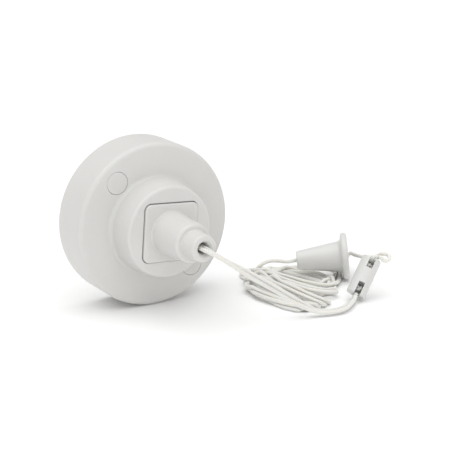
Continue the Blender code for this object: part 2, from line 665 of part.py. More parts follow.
# Connector: a round bar that stands on its foot, leaning over to +X.
CONNECTOR_AT = (83.6, -35.6, 2.95)
CONNECTOR_UP = (0.599, 0.145, 0.788)
CONNECTOR_FACE = (-0.42, -0.80, 0.42)  # the side that its slots open to
CONNECTOR_R, CONNECTOR_L = 4.6, 20.0
CONNECTOR = empty("connector_axis", frame_of(CONNECTOR_AT, CONNECTOR_UP, CONNECTOR_FACE))
bar = [(0, CONNECTOR_L)]
bar += arc(CONNECTOR_R - 1.0, CONNECTOR_L - 1.0, 1.0, 90, 0, 3)
bar += arc(CONNECTOR_R - 1.0, 1.0, 1.0, 0, -90, 3)
bar += [(0, 0)]
connector = turned("cord_connector", bar, 28, WHITE, parent=CONNECTOR)
for k, middle in enumerate((3.0, CONNECTOR_L - 3.0)):
    # A slot open to the side and to the end, and the wider room in which the knot sits.
    out = -1 if k == 0 else 1
    cut(connector, block(f"slot_{k}", (9, 3.0, 9.0), (3.6, 0, middle + out * 1.4), parent=CONNECTOR))
    cut(connector, block(f"knot_room_{k}", (6.2, 5.0, 4.6), (0.4, 0, middle - out * 0.9), parent=CONNECTOR, corner=0.8, steps=2, along="U"))
apply_all(connector)
smooth(connector)


def at_connector(x, y, z):
    point = CONNECTOR.matrix_basis @ (Vector((x, y, z)) * MM)
    return np.array(point) / MM


# Doubled lead: from the plunger's eye, out of the nozzle, over its lip, down in front of the hank, along
# the surface and up into the connector's lower slot.
lead_route = [
    (0, FACE_Y - 35.7, AXIS_Z),
    (0, -28.0, AXIS_Z),
    (0, -31.6, AXIS_Z),
    (0.6, -35.4, AXIS_Z - 0.4),
    (3.2, -37.2, AXIS_Z - 2.2),
    (8.0, -37.8, 34.2),
    (16.2, -38.4, 28.6),
    (31.3, -40.0, 18.6),
    (46.0, -41.8, 8.4),
    (54.0, -43.4, 3.4),
    (59.6, -45.2, 2.3),
    (65.0, -46.4, 2.3),
    (70.6, -45.4, 2.3),
    (76.6, -41.4, 2.4),
    tuple(at_connector(3.4, 0, -3.6)),
    tuple(at_connector(1.6, 0, 0.4)),
]
lead = spline_points(lead_route, 3.4)
pair = side_by_side(
    lead,
    [(0.0, (1.0, 0, 0.1)), (0.10, (1.0, 0, 0.1)), (0.2, (0.3, 0.2, 0.9)), (0.55, (0.1, 0.1, 1.0)), (0.64, (-0.1, 0.5, 0.6))]
    + [(0.74, (-0.3, 0.9, 0.1)), (0.84, (-0.55, 0.8, 0.1)), (0.95, tuple(-c for c in CONNECTOR_FACE)), (1.0, tuple(-c for c in CONNECTOR_FACE))],
    CORD_D + PAIR_GAP,
)
cord("lead_strand_a", pair[0])
cord("lead_strand_b", pair[1])


def knot(name, radius, matrix, stretch=1.0):
    """A pulled-up overhand knot as a lobed ball."""
    bm = bmesh.new()
    bmesh.ops.create_uvsphere(bm, u_segments=12, v_segments=8, radius=radius)
    for v in bm.verts:
        turn = math.atan2(v.co.y, v.co.x)
        v.co *= 1 + 0.09 * math.sin(3 * turn + 2.2 * v.co.z / radius)
        v.co.z *= stretch
    made = mesh_object(name, bm, CORD, parent=None)
    made.matrix_basis = matrix
    return smooth(made, 60)


knot("plunger_knot", 1.8, SWITCH_MATRIX @ Matrix.Translation((0, 0, 33.5 * MM)), 0.8)
knot("lead_knot", 2.1, CONNECTOR.matrix_basis @ Matrix.Translation((0.6 * MM, 0, 4.0 * MM)), 0.9)
knot("cord_knot", 2.1, CONNECTOR.matrix_basis @ Matrix.Translation((0.6 * MM, 0, 15.9 * MM)), 0.9)

# Acorn pull: a tapered bell that lies with its flange on the surface and its narrow end on the hank.
ACORN_AT = (101.06, -6.18, 12.27)
ACORN_AXIS = (0.8245, -0.5561, 0.1045)
ACORN_L, ACORN_R, ACORN_NECK_R, ACORN_THICK = 26.0, 11.9, 4.75, 3.4
ACORN = empty("acorn_axis", frame_of(ACORN_AT, ACORN_AXIS, (0, 0, 1)))
bell = [(1.35, -ACORN_L), (ACORN_NECK_R - 0.8, -ACORN_L), (ACORN_NECK_R, -ACORN_L + 0.8)]
bell += [(7.75, -5.6), (7.95, -4.6), (8.5, -3.8), (9.5, -ACORN_THICK)]
bell += [(ACORN_R - 1.2, -ACORN_THICK), (ACORN_R - 0.4, -ACORN_THICK + 0.4), (ACORN_R, -ACORN_THICK / 2)]
bell += [(ACORN_R - 0.4, -0.4), (ACORN_R - 1.2, 0)]
bell += [(7.6, 0), (7.0, -0.6), (6.3, -7.0), (3.4, -ACORN_L + 5.0), (3.2, -ACORN_L + 2.4), (1.35, -ACORN_L + 2.2)]
acorn = turned("acorn_pull", bell[::-1], 24, WHITE, parent=ACORN, closed=True)
apply_all(acorn)
smooth(acorn)


def at_acorn(along, x=0.0, y=0.0):
    return np.array(ACORN.matrix_basis @ (Vector((x, y, along)) * MM)) / MM


knot("acorn_knot", 2.2, ACORN.matrix_basis @ Matrix.Translation((0, 0, (-ACORN_L + 6.4) * MM)), 0.9)

# Long cord: from its knot in the connector, round a small loose loop, round the outside of the acorn's flange
# and under its bell to the hank, and from the hank over to the acorn's narrow end.
loop_route = [
    tuple(at_connector(1.2, 0, 19.0)),
    tuple(at_connector(1.9, 0.35, 21.0)),
    tuple(at_connector(2.0, 2.5, 21.8)),
    (98.7, -36.3, 18.6),
    (100.3, -37.8, 18.5),
    (102.0, -38.8, 18.7),
    (103.4, -38.0, 19.8),
    (103.2, -35.8, 20.5),
    (101.9, -33.0, 19.9),
    (101.0, -29.6, 18.4),
    (100.8, -25.0, 16.6),
    (101.9, -19.5, 15.0),
    (103.8, -13.0, 13.4),
    (106.0, -5.5, 11.7),
    (109.8, 3.2, 9.3),
    (110.5, 8.5, 5.5),
    (108.5, 12.5, 2.4),
    (103.5, 11.5, 1.2),
    (98.5, 7.0, 1.1),
    (93.8, -1.2, 1.1),
    (88.5, -6.2, 1.1),
    (83.0, -8.8, 1.1),
    (78.6, -9.0, 1.2),
]
cord("cord_to_connector", spline_points(loop_route, 3.2))
acorn_route = [
    tuple(at_acorn(-ACORN_L + 3.9)),
    tuple(at_acorn(-ACORN_L - 1.0)),
    (75.6, 10.7, 9.4),
    (72.0, 12.1, 9.9),
    (68.0, 13.3, 10.5),
    (64.2, 13.9, 10.4),
    (61.6, 14.0, 9.4),
    (60.8, 14.0, 8.3),
]
cord("cord_to_acorn", spline_points(acorn_route, 2.6))

# Hank: the long cord wound in a flat skein, as one solid with a groove where the acorn lies.
HANK_AT, HANK_TURN = (61.5, -10.5), math.radians(-80)
HANK_L, HANK_W, HANK_H = 27.0, 16.8, 7.6
curve = bpy.data.curves.new("cord_hank", "CURVE")
curve.dimensions = "2D"
curve.fill_mode = "BOTH"
curve.extrude = HANK_H / 2 * MM
line = curve.splines.new("POLY")
steps = 40
line.points.add(steps - 1)
for i, point in enumerate(line.points):
    t = 2 * math.pi * i / steps
    x = HANK_L * math.copysign(abs(math.cos(t)) ** 0.8, math.cos(t))
    y = HANK_W * math.copysign(abs(math.sin(t)) ** 0.8, math.sin(t))
    point.co = (x * MM, y * MM, 0, 1)
line.use_cyclic_u = True
hank = bpy.data.objects.new("cord_hank", curve)
PARTS.objects.link(hank)
hank.matrix_basis = Matrix.Translation((HANK_AT[0] * MM, HANK_AT[1] * MM, HANK_H / 2 * MM)) @ Matrix.Rotation(HANK_TURN, 4, "Z")
hank = apply_all(hank)
hank.data.materials.append(CORD)
cut(hank, turned("acorn_rest", [(0, 3), (13.2, 3), (13.2, -5), (9.6, -5.6), (ACORN_NECK_R + 1.0, -ACORN_L - 0.6), (0, -ACORN_L - 0.6)], 32, None, parent=ACORN))
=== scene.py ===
"""Looks of the pull cord switch: a round white cover with its cord outlet, a doubled lead, a cord
connector, the long cord wound in a flat hank, and the acorn pull. Lengths below are in millimetres."""

import json
import math

import bmesh
import bpy
import numpy as np
from mathutils import Matrix, Vector


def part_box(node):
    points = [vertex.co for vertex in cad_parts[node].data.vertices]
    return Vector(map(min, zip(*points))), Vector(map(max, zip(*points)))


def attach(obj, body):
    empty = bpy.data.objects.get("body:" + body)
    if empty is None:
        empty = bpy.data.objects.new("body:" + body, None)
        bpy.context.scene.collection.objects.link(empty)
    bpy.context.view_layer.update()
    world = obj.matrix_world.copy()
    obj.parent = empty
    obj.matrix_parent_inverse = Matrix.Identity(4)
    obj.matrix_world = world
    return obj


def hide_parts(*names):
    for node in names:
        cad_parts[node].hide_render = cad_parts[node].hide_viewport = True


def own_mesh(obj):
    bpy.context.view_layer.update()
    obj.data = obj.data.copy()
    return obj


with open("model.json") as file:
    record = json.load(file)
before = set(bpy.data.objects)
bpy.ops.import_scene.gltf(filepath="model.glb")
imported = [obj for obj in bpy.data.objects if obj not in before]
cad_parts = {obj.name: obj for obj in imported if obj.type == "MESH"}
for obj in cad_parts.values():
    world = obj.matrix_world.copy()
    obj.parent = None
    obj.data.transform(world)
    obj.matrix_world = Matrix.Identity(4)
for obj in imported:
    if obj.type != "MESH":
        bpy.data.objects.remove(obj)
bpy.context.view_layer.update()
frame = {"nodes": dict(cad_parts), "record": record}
MM = 0.001

# ---------------------------------------------------------------- sizes, as in the CAD but for WINDOW, FUNNEL_R and HOLE_R
SKIRT_R = 39.71
EDGE_R = 2.2
WALL = 2.0
BACK_W = -22.2
TURRET_FOOT_R = 23.2
TURRET_TOP_R = 22.0
TURRET_W = 14.2
FILLET_R = 2.0
WINDOW = 28.3
PLATE = 27.6
PLATE_W = 15.3
PLATE_CORNER_R = 3.0
CONE_FOOT_R = 10.15
CONE_TOP_R = 9.2
CONE_W = 36.05
NOSE_FOOT_R = 6.55
NOSE_TOP_R = 6.35
NOSE_W = 45.3
HOLE_R = 2.6
FUNNEL_R = 3.7
CAVITY_R = 6.9
CAVITY_END_W = 33.0
STOP_R, STOP_W = 5.8, 11.1
BOX = 30.0
BOX_WALL = 1.6
BOX_BACK_W = -9.6
FIXING_PITCH_R = 30.15
CAP_R = 5.3
CAP_ANGLE = 135.0
MODULE_SCREW_V = 24.6
REAR_SCREWS = ((-11.0, 11.0), (-11.0, -11.0))
ROLL = math.radians(-4.4)
AXIS_Z = 39.8 * math.cos(math.pi / 48)
FACE_Y = 11.1
CORD_D = 2.0
BRAID_PITCH = 0.9
WORLD, SUN, FRONT = 0.66, 1.55, 2.0

SWITCH = (
    Matrix.Translation((0, FACE_Y * MM, AXIS_Z * MM))
    @ Matrix.Rotation(math.pi / 2, 4, "X")
    @ Matrix.Rotation(ROLL, 4, "Z")
)


def frame_of(at, direction, towards):
    """A matrix whose Z is the direction, and whose X is as near as it can be to another one."""
    z = Vector(direction).normalized()
    x = Vector(towards)
    x = (x - z * x.dot(z)).normalized()
    y = z.cross(x)
    made = Matrix((x, y, z)).transposed().to_4x4()
    made.translation = Vector(at) * MM
    return made


CONNECTOR_R, CONNECTOR_L = 4.6, 20.0
CONNECTOR = frame_of((83.6, -35.6, 2.95), (0.599, 0.145, 0.788), (-0.42, -0.80, 0.42))
ACORN_L, ACORN_R, ACORN_NECK_R, ACORN_THICK = 26.0, 11.9, 4.75, 3.4
ACORN = frame_of((101.06, -6.18, 12.27), (0.8245, -0.5561, 0.1045), (0, 0, 1))


def at(matrix, x, y, z):
    return tuple(v / MM for v in matrix @ (Vector((x, y, z)) * MM))


# ---------------------------------------------------------------- camera
camera = bpy.data.objects.new("camera", bpy.data.cameras.new("camera"))
bpy.context.scene.collection.objects.link(camera)
camera.data.sensor_width = 36.0
camera.data.lens = 1358.6 * 36.0 / 450.0
camera.data.clip_start, camera.data.clip_end = 0.01, 60.0
back = Vector((-0.50420, -0.81687, 0.28020)).normalized()
right = Vector((0.85095, -0.52524, 0.0)).normalized()
up = back.cross(right)
turn = Matrix((right, up, back)).transposed().to_4x4()
camera.matrix_world = Matrix.Translation(Vector((-295.96, -530.99, 219.71)) * MM) @ turn
bpy.context.scene.camera = camera
bpy.context.scene.view_settings.view_transform = "Standard"


# ---------------------------------------------------------------- materials
def node(tree, kind, values=None, **settings):
    made = tree.nodes.new(kind)
    for key, value in settings.items():
        setattr(made, key, value)
    for key, value in (values or {}).items():
        made.inputs[key].default_value = value
    return made


def new_material(name, **values):
    made = bpy.data.materials.new(name)
    made.use_nodes = True
    tree = made.node_tree
    bsdf = tree.nodes["Principled BSDF"]
    for key, value in values.items():
        bsdf.inputs[key.replace("_", " ")].default_value = value
    return made, tree, bsdf


def maths(tree, operation, a, b=None, clamp=False):
    made = node(tree, "ShaderNodeMath", operation=operation, use_clamp=clamp)
    for k, value in enumerate((a, b)):
        if value is None:
            continue
        if isinstance(value, (int, float)):
            made.inputs[k].default_value = value
        else:
            tree.links.new(value, made.inputs[k])
    return made.outputs[0]


def blend(tree, factor, a, b):
    """A colour between a and b. Each is a colour, or a socket."""
    made = node(tree, "ShaderNodeMix", data_type="RGBA")
    for key, value in ((0, factor), (6, a), (7, b)):
        if hasattr(value, "is_linked"):
            tree.links.new(value, made.inputs[key])
        elif isinstance(value, (int, float)):
            made.inputs[key].default_value = value
        else:
            made.inputs[key].default_value = (*value, 1.0)
    return made.outputs[2]


def spread(tree, value, low, high, to_low=0.0, to_high=1.0, smooth=False):
    made = node(tree, "ShaderNodeMapRange")
    made.interpolation_type = "SMOOTHSTEP" if smooth else "LINEAR"
    tree.links.new(value, made.inputs[0])
    for k, number in enumerate((low, high, to_low, to_high), 1):
        made.inputs[k].default_value = number
    return made.outputs[0]


def noise(tree, where, scale, detail=2.0, rough=0.5):
    made = node(tree, "ShaderNodeTexNoise", {"Scale": scale, "Detail": detail, "Roughness": rough})
    tree.links.new(where, made.inputs["Vector"])
    return made.outputs["Fac"]


def bump(tree, height, strength, distance, under=None):
    made = node(tree, "ShaderNodeBump", {"Strength": strength, "Distance": distance})
    tree.links.new(height, made.inputs["Height"])
    if under is not None:
        tree.links.new(under, made.inputs["Normal"])
    return made.outputs["Normal"]


def moulded(name, light, dark, gloss, grain=1.0, specks=True, seed=0.0):
    """Moulded plastic: cloudy colour in the melt, faint flow marks, a fine spark-eroded skin, a painted
    highlight on its edges, dull and glossy patches where it was handled, and a few specks in the material."""
    made, tree, bsdf = new_material(
        name, Metallic=0.0, IOR=1.5, Specular_IOR_Level=0.4, Subsurface_Weight=0.1, Subsurface_Radius=(1.0, 0.9, 0.8), Subsurface_Scale=0.0015
    )
    place = node(tree, "ShaderNodeTexCoord").outputs["Object"]
    shift = node(tree, "ShaderNodeMapping", {"Location": (seed, seed * 0.7, -seed)})
    tree.links.new(place, shift.inputs["Vector"])
    place = shift.outputs["Vector"]
    clouds = noise(tree, place, 46.0, 3.0)
    grains = noise(tree, place, 760.0, 4.0, 0.6)
    skin = noise(tree, place, 2600.0, 2.0, 0.5)
    flow = noise(tree, place, 130.0, 2.0)
    tone = maths(tree, "ADD", maths(tree, "MULTIPLY", clouds, 0.65), maths(tree, "MULTIPLY", grains, 0.35))
    tone = spread(tree, tone, 0.36, 0.64)
    colour = blend(tree, tone, dark, light)
    # Painted highlight: edges found by pointiness are lightened as if they caught the light.
    edge_highlight = spread(tree, node(tree, "ShaderNodeNewGeometry").outputs["Pointiness"], 0.505, 0.56)
    colour = blend(tree, maths(tree, "MULTIPLY", edge_highlight, 0.35), colour, tuple(min(1.0, c * 1.06) for c in light))
    if specks:
        cells = node(tree, "ShaderNodeTexVoronoi", {"Scale": 120.0})
        tree.links.new(place, cells.inputs["Vector"])
        near = spread(tree, cells.outputs["Distance"], 0.030, 0.016)
        pick = node(tree, "ShaderNodeSeparateColor")
        tree.links.new(cells.outputs["Color"], pick.inputs[0])
        some = maths(tree, "GREATER_THAN", pick.outputs[0], 0.88)
        colour = blend(tree, maths(tree, "MULTIPLY", maths(tree, "MULTIPLY", near, some), 0.55), colour, (0.36, 0.34, 0.30))
    tree.links.new(colour, bsdf.inputs["Base Color"])
    rough = maths(tree, "ADD", maths(tree, "MULTIPLY", clouds, 0.55), maths(tree, "MULTIPLY", skin, 0.45))
    tree.links.new(spread(tree, rough, 0.3, 0.7, gloss - 0.06, gloss + 0.07), bsdf.inputs["Roughness"])
    first = bump(tree, flow, 0.05 * grain, 0.0006)
    second = bump(tree, grains, 0.10 * grain, 0.00008, first)
    tree.links.new(bump(tree, skin, 0.14 * grain, 0.00003, second), bsdf.inputs["Normal"])
    return made


def metal(name, light, dark, gloss, scratch=1.0):
    """Pressed or turned metal: uneven tone, drawn lines, fine scratches and dull spots."""
    made, tree, bsdf = new_material(name, Metallic=1.0)
    place = node(tree, "ShaderNodeTexCoord").outputs["Object"]
    drawn = node(tree, "ShaderNodeMapping", {"Scale": (1.0, 0.08, 1.0)})
    tree.links.new(place, drawn.inputs["Vector"])
    lines = noise(tree, drawn.outputs["Vector"], 5200.0, 3.0, 0.6)
    spots = noise(tree, place, 420.0, 4.0, 0.6)
    tone = spread(tree, spots, 0.35, 0.68)
    tree.links.new(blend(tree, tone, dark, light), bsdf.inputs["Base Color"])
    rough = maths(tree, "ADD", maths(tree, "MULTIPLY", spots, 0.5), maths(tree, "MULTIPLY", lines, 0.5))
    tree.links.new(spread(tree, rough, 0.3, 0.7, gloss - 0.08, gloss + 0.14), bsdf.inputs["Roughness"])
    tree.links.new(bump(tree, lines, 0.16 * scratch, 0.00004), bsdf.inputs["Normal"])
    return made


def braid_material(name, light, gap):
    """Braided cord: strands cross over and under along the cord, their fibres run along each strand, and the
    gaps between them carry painted shade, darker and a little yellow. UV runs once round, and once along for each braid
    pitch."""
    made, tree, bsdf = new_material(
        name, Metallic=0.0, IOR=1.46, Sheen_Weight=0.35, Sheen_Roughness=0.45, Specular_IOR_Level=0.45,
        Subsurface_Weight=0.8, Subsurface_Radius=(1.0, 0.92, 0.78), Subsurface_Scale=0.002,
    )
    coords = node(tree, "ShaderNodeUVMap", uv_map="braid")
    parts = node(tree, "ShaderNodeSeparateXYZ")
    tree.links.new(coords.outputs[0], parts.inputs[0])
    around = maths(tree, "MULTIPLY", parts.outputs[0], 4.0)
    one = maths(tree, "MULTIPLY", maths(tree, "ADD", around, parts.outputs[1]), 2 * math.pi)
    two = maths(tree, "MULTIPLY", maths(tree, "SUBTRACT", around, parts.outputs[1]), 2 * math.pi)
    weave = maths(tree, "MULTIPLY", maths(tree, "ADD", maths(tree, "COSINE", one), maths(tree, "COSINE", two)), 0.5)
    fibres_one = maths(tree, "SINE", maths(tree, "MULTIPLY", two, 5.0))
    fibres_two = maths(tree, "SINE", maths(tree, "MULTIPLY", one, 5.0))
    over = maths(tree, "GREATER_THAN", maths(tree, "SINE", one), 0.0)
    fibres = maths(
        tree, "ADD", maths(tree, "MULTIPLY", fibres_one, over), maths(tree, "MULTIPLY", fibres_two, maths(tree, "SUBTRACT", 1.0, over))
    )
    place = node(tree, "ShaderNodeTexCoord").outputs["Object"]
    fuzz = noise(tree, place, 3200.0, 3.0, 0.6)
    patches = noise(tree, place, 60.0, 2.0)
    # Painted shade: the valleys of the weave, between the strands, are darkened towards the gap colour.
    gap_shade_mask = spread(tree, weave, -0.95, 0.25, smooth=True)
    colour = blend(tree, gap_shade_mask, gap, light)
    colour = blend(tree, maths(tree, "MULTIPLY", spread(tree, fuzz, 0.45, 0.75), 0.10), colour, gap)
    colour = blend(tree, maths(tree, "MULTIPLY", spread(tree, patches, 0.4, 0.75), 0.25), colour, tuple(c * k for c, k in zip(light, (0.98, 0.965, 0.93))))
    tree.links.new(colour, bsdf.inputs["Base Color"])
    tree.links.new(spread(tree, fuzz, 0.3, 0.7, 0.48, 0.66), bsdf.inputs["Roughness"])
    first = bump(tree, weave, 0.35, 0.00012)
    second = bump(tree, fibres, 0.12, 0.00003, first)
    tree.links.new(bump(tree, fuzz, 0.12, 0.00004, second), bsdf.inputs["Normal"])
    return made


WHITE = moulded("white_moulding_look", (0.660, 0.653, 0.636), (0.638, 0.631, 0.614), 0.36)
PULL_WHITE = moulded("pull_moulding_look", (0.670, 0.666, 0.650), (0.646, 0.642, 0.626), 0.30, 0.7, False, 0.31)
BACK_WHITE = moulded("base_moulding_look", (0.80, 0.797, 0.775), (0.765, 0.762, 0.742), 0.44, 1.6, True, 0.17)
NYLON = moulded("natural_nylon_look", (0.80, 0.77, 0.70), (0.74, 0.71, 0.63), 0.42, 1.2, False, 0.53)
BRASS = metal("brass_look", (0.80, 0.62, 0.32), (0.66, 0.49, 0.23), 0.28)
STEEL = metal("zinc_plate_look", (0.72, 0.73, 0.74), (0.54, 0.55, 0.57), 0.26)
BRONZE = metal("phosphor_bronze_look", (0.76, 0.50, 0.33), (0.62, 0.38, 0.24), 0.28)
# The second colour is the painted shade in the braid's gaps.
CORD = braid_material("braided_cord_look", (0.765, 0.762, 0.742), (0.63, 0.617, 0.556))
LOOKS = {
    "white_moulding": WHITE,
    "natural_nylon": NYLON,
    "brass": BRASS,
    "phosphor_bronze": BRONZE,
    "zinc_plated_steel": STEEL,
    "braided_cord": CORD,
}


# ---------------------------------------------------------------- mesh helpers
SCRAP = []


def link(name, mesh, matrix=None):
    made = bpy.data.objects.new(name, mesh)
    bpy.context.scene.collection.objects.link(made)
    if matrix is not None:
        made.data.transform(matrix)
    return made


def from_bm(name, bm, matrix=SWITCH, local=None):
    """An object at the origin, of a mesh made in millimetres in a local frame."""
    if local is not None:
        bmesh.ops.transform(bm, matrix=local, verts=bm.verts)
    bmesh.ops.recalc_face_normals(bm, faces=bm.faces)
    mesh = bpy.data.meshes.new(name)
    bm.to_mesh(mesh)
    bm.free()
    return link(name, mesh, matrix @ Matrix.Scale(MM, 4))


def arc(cx, cy, r, start, end, steps):
    return [
        (
            cx + r * math.cos(math.radians(start + (end - start) * i / steps)),
            cy + r * math.sin(math.radians(start + (end - start) * i / steps)),
        )
        for i in range(steps + 1)
    ]


def turned(name, profile, sides=160, matrix=SWITCH, centre=(0, 0), closed=False, phase=0.0, along=None):
    """The (radius, height) profile turned about the local w axis through the centre."""
    bm = bmesh.new()
    rings = []
    for r, h in profile:
        if r < 1e-6:
            rings.append([bm.verts.new((0, 0, h))])
            continue
        rings.append(
            [
                bm.verts.new((r * math.cos(2 * math.pi * k / sides + phase), r * math.sin(2 * math.pi * k / sides + phase), h))
                for k in range(sides)
            ]
        )
    pairs = list(zip(rings, rings[1:])) + ([(rings[-1], rings[0])] if closed else [])
    for a, b in pairs:
        for k in range(sides):
            n = (k + 1) % sides
            if len(a) == 1 and len(b) == 1:
                break
            if len(a) == 1:
                bm.faces.new((a[0], b[k], b[n]))
            elif len(b) == 1:
                bm.faces.new((a[k], a[n], b[0]))
            else:
                bm.faces.new((a[k], a[n], b[n], b[k]))
    local = Matrix.Translation((centre[0], centre[1], 0))
    if along == "U":
        local = Matrix.Translation((0, centre[0], centre[1])) @ Matrix.Rotation(math.pi / 2, 4, "Y")
    return from_bm(name, bm, matrix, local)


def slab(name, outline, low, high, matrix=SWITCH, top=0.0, bottom=0.0, steps=4, local=None):
    """A prism of an outline, with its upper and lower edges rounded inwards by top and bottom, or flared
    outwards where they are negative."""
    bm = bmesh.new()
    points = np.array(outline, float)
    ahead, behind = np.roll(points, -1, 0), np.roll(points, 1, 0)
    tangent = ahead - behind
    tangent /= np.linalg.norm(tangent, axis=1)[:, None]
    inward = np.stack([-tangent[:, 1], tangent[:, 0]], 1)
    levels = []
    if bottom > 0:
        levels += [(bottom * (1 - math.sin(a)), low + bottom * (1 - math.cos(a))) for a in np.linspace(0, math.pi / 2, steps + 1)]
    else:
        levels += [(bottom, low), (0.0, low - bottom)] if bottom < 0 else [(0.0, low)]
    if top > 0:
        levels += [(top * (1 - math.cos(a)), high - top * (1 - math.sin(a))) for a in np.linspace(0, math.pi / 2, steps + 1)]
    else:
        levels += [(0.0, high + top), (top, high)] if top < 0 else [(0.0, high)]
    rings = [[bm.verts.new((*(p + n * inset), h)) for p, n in zip(points, inward)] for inset, h in levels]
    count = len(points)
    for a, b in zip(rings, rings[1:]):
        for k in range(count):
            n = (k + 1) % count
            bm.faces.new((a[k], a[n], b[n], b[k]))
    bm.faces.new(rings[0][::-1])
    bm.faces.new(rings[-1])
    return from_bm(name, bm, matrix, local)


def rounded(width, height, corner, steps=10, centre=(0, 0)):
    """The outline of a rectangle with rounded corners, anticlockwise."""
    points = []
    for k, (sx, sy) in enumerate(((1, 1), (-1, 1), (-1, -1), (1, -1))):
        points += arc(sx * (width / 2 - corner), sy * (height / 2 - corner), corner, 90 * k, 90 * (k + 1), steps)
    return [(x + centre[0], y + centre[1]) for x, y in points]


def circle(radius, steps=64, centre=(0, 0)):
    return [
        (centre[0] + radius * math.cos(2 * math.pi * k / steps), centre[1] + radius * math.sin(2 * math.pi * k / steps))
        for k in range(steps)
    ]


def polar(radius, degrees):
    return radius * math.cos(math.radians(degrees)), radius * math.sin(math.radians(degrees))


def boolean(target, tool, operation):
    made = target.modifiers.new(operation.lower(), "BOOLEAN")
    made.operation = operation
    made.solver = "EXACT"
    made.object = tool
    tool.hide_render = True
    SCRAP.append(tool)
    return target


def cut(target, *tools):
    for tool in tools:
        boolean(target, tool, "DIFFERENCE")
    return target


def join(target, *tools):
    for tool in tools:
        boolean(target, tool, "UNION")
    return target


def finished(target, material, body, replaced, angle=32.0, weighted=True):
    """The piece with its modifiers applied, smooth between sharp edges, in its material and on its body."""
    if target.modifiers:
        bpy.context.view_layer.update()
        graph = bpy.context.evaluated_depsgraph_get()
        mesh = bpy.data.meshes.new_from_object(target.evaluated_get(graph))
        target.modifiers.clear()
        target.data = mesh
    bm = bmesh.new()
    bm.from_mesh(target.data)
    bmesh.ops.remove_doubles(bm, verts=bm.verts, dist=1e-6)
    bmesh.ops.dissolve_degenerate(bm, edges=bm.edges, dist=1e-6)
    bm.to_mesh(target.data)
    bm.free()
    target.data.shade_smooth()
    target.data.set_sharp_from_angle(angle=math.radians(angle))
    if weighted:
        normals = target.modifiers.new("weighted", "WEIGHTED_NORMAL")
        normals.keep_sharp = True
        normals.weight = 80
        bpy.context.view_layer.update()
        graph = bpy.context.evaluated_depsgraph_get()
        mesh = bpy.data.meshes.new_from_object(target.evaluated_get(graph))
        target.modifiers.clear()
        target.data = mesh
    target.data.materials.clear()
    target.data.materials.append(material)
    for tool in SCRAP:
        bpy.data.objects.remove(tool, do_unlink=True)
    SCRAP.clear()
    return placed(target, body, replaced)


def placed(target, body, replaced):
    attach(target, body)
    if replaced:
        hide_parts(*replaced)
    return target


# ---------------------------------------------------------------- cover
profile = [(0, TURRET_W)]
profile += arc(TURRET_TOP_R - 1.6, TURRET_W - 1.6, 1.6, 90, 6, 7)
profile += arc(TURRET_FOOT_R + FILLET_R, FILLET_R, FILLET_R, 184, 270, 10)
profile += arc(SKIRT_R - EDGE_R, -EDGE_R, EDGE_R, 90, 0, 12)
profile += [(SKIRT_R, -8.0), (SKIRT_R, -15.0)]
profile += arc(SKIRT_R - 0.35, BACK_W + 0.35, 0.35, 0, -90, 4)
profile += arc(SKIRT_R - WALL + 0.3, BACK_W + 0.3, 0.3, -90, -180, 3)
profile += [(SKIRT_R - WALL, -WALL - 1.0)] + arc(SKIRT_R - WALL - 1.0, -WALL - 1.0, 1.0, 0, 90, 4)[1:]
profile += [(TURRET_FOOT_R - WALL, -WALL), (TURRET_TOP_R - WALL, TURRET_W - WALL), (0, TURRET_W - WALL)]
cover = turned("cover_shell", profile, 224)
caps_at = [polar(FIXING_PITCH_R, CAP_ANGLE + 180 * k) for k in range(2)]
for k, (u, v) in enumerate(caps_at):
    join(cover, slab(f"boss_{k}", circle(7.2, 48, (u, v)), -9.0, -1.0, bottom=0.4))
for k, v in enumerate((MODULE_SCREW_V, -MODULE_SCREW_V)):
    join(cover, slab(f"module_boss_{k}", circle(3.0, 36, (0, v)), -9.6, -1.0, bottom=0.3))
for k in range(4):
    u, v = polar(SKIRT_R - WALL - 0.9, 20 + 90 * k)
    spin = Matrix.Translation((u, v, 0)) @ Matrix.Rotation(math.radians(20 + 90 * k), 4, "Z")
    join(cover, slab(f"rib_{k}", rounded(2.4, 1.6, 0.3, 3), -WALL - 12.3, -WALL + 0.5, local=spin))
cut(cover, slab("window", rounded(WINDOW, WINDOW, 3.4, 12, (-0.02, 0.06)), TURRET_W - 5, TURRET_W + 1))
cut(cover, slab("window_mouth", rounded(WINDOW + 0.36, WINDOW + 0.36, 3.6, 12, (-0.02, 0.06)), TURRET_W - 0.2, TURRET_W + 2, bottom=0.19))
for k, (u, v) in enumerate(caps_at):
    cut(cover, slab(f"recess_{k}", circle(CAP_R + 0.13, 72, (u, v)), -5.5, 4.0))
    cut(cover, slab(f"screw_way_{k}", circle(2.25, 32, (u, v)), -10.0, -4.0))
for k, v in enumerate((MODULE_SCREW_V, -MODULE_SCREW_V)):
    cut(cover, slab(f"module_way_{k}", circle(1.35, 24, (0, v)), -10.5, -3.0))
finished(cover, WHITE, "switch_body", ["cover"])

# ---------------------------------------------------------------- screw caps
for side, (u, v) in zip(("upper", "lower"), caps_at):
    cap = turned(
        f"cap_{side}",
        [(0, -0.02)]
        + [(2.2, -0.02), (2.45, 0.0)]
        + arc(CAP_R - 0.22, -0.22, 0.22, 90, 0, 5)
        + [(CAP_R, -1.2), (CAP_R - 0.5, -1.5), (CAP_R - 0.5, -2.7), (CAP_R - 0.7, -2.9), (CAP_R - 1.2, -2.9)]
        + [(CAP_R - 1.4, -2.7), (CAP_R - 1.4, -1.6), (CAP_R - 1.6, -1.4), (0, -1.4)],
        72,
        centre=(u, v),
    )
    finished(cap, WHITE, "switch_body", [f"screw_cap_{side}"])

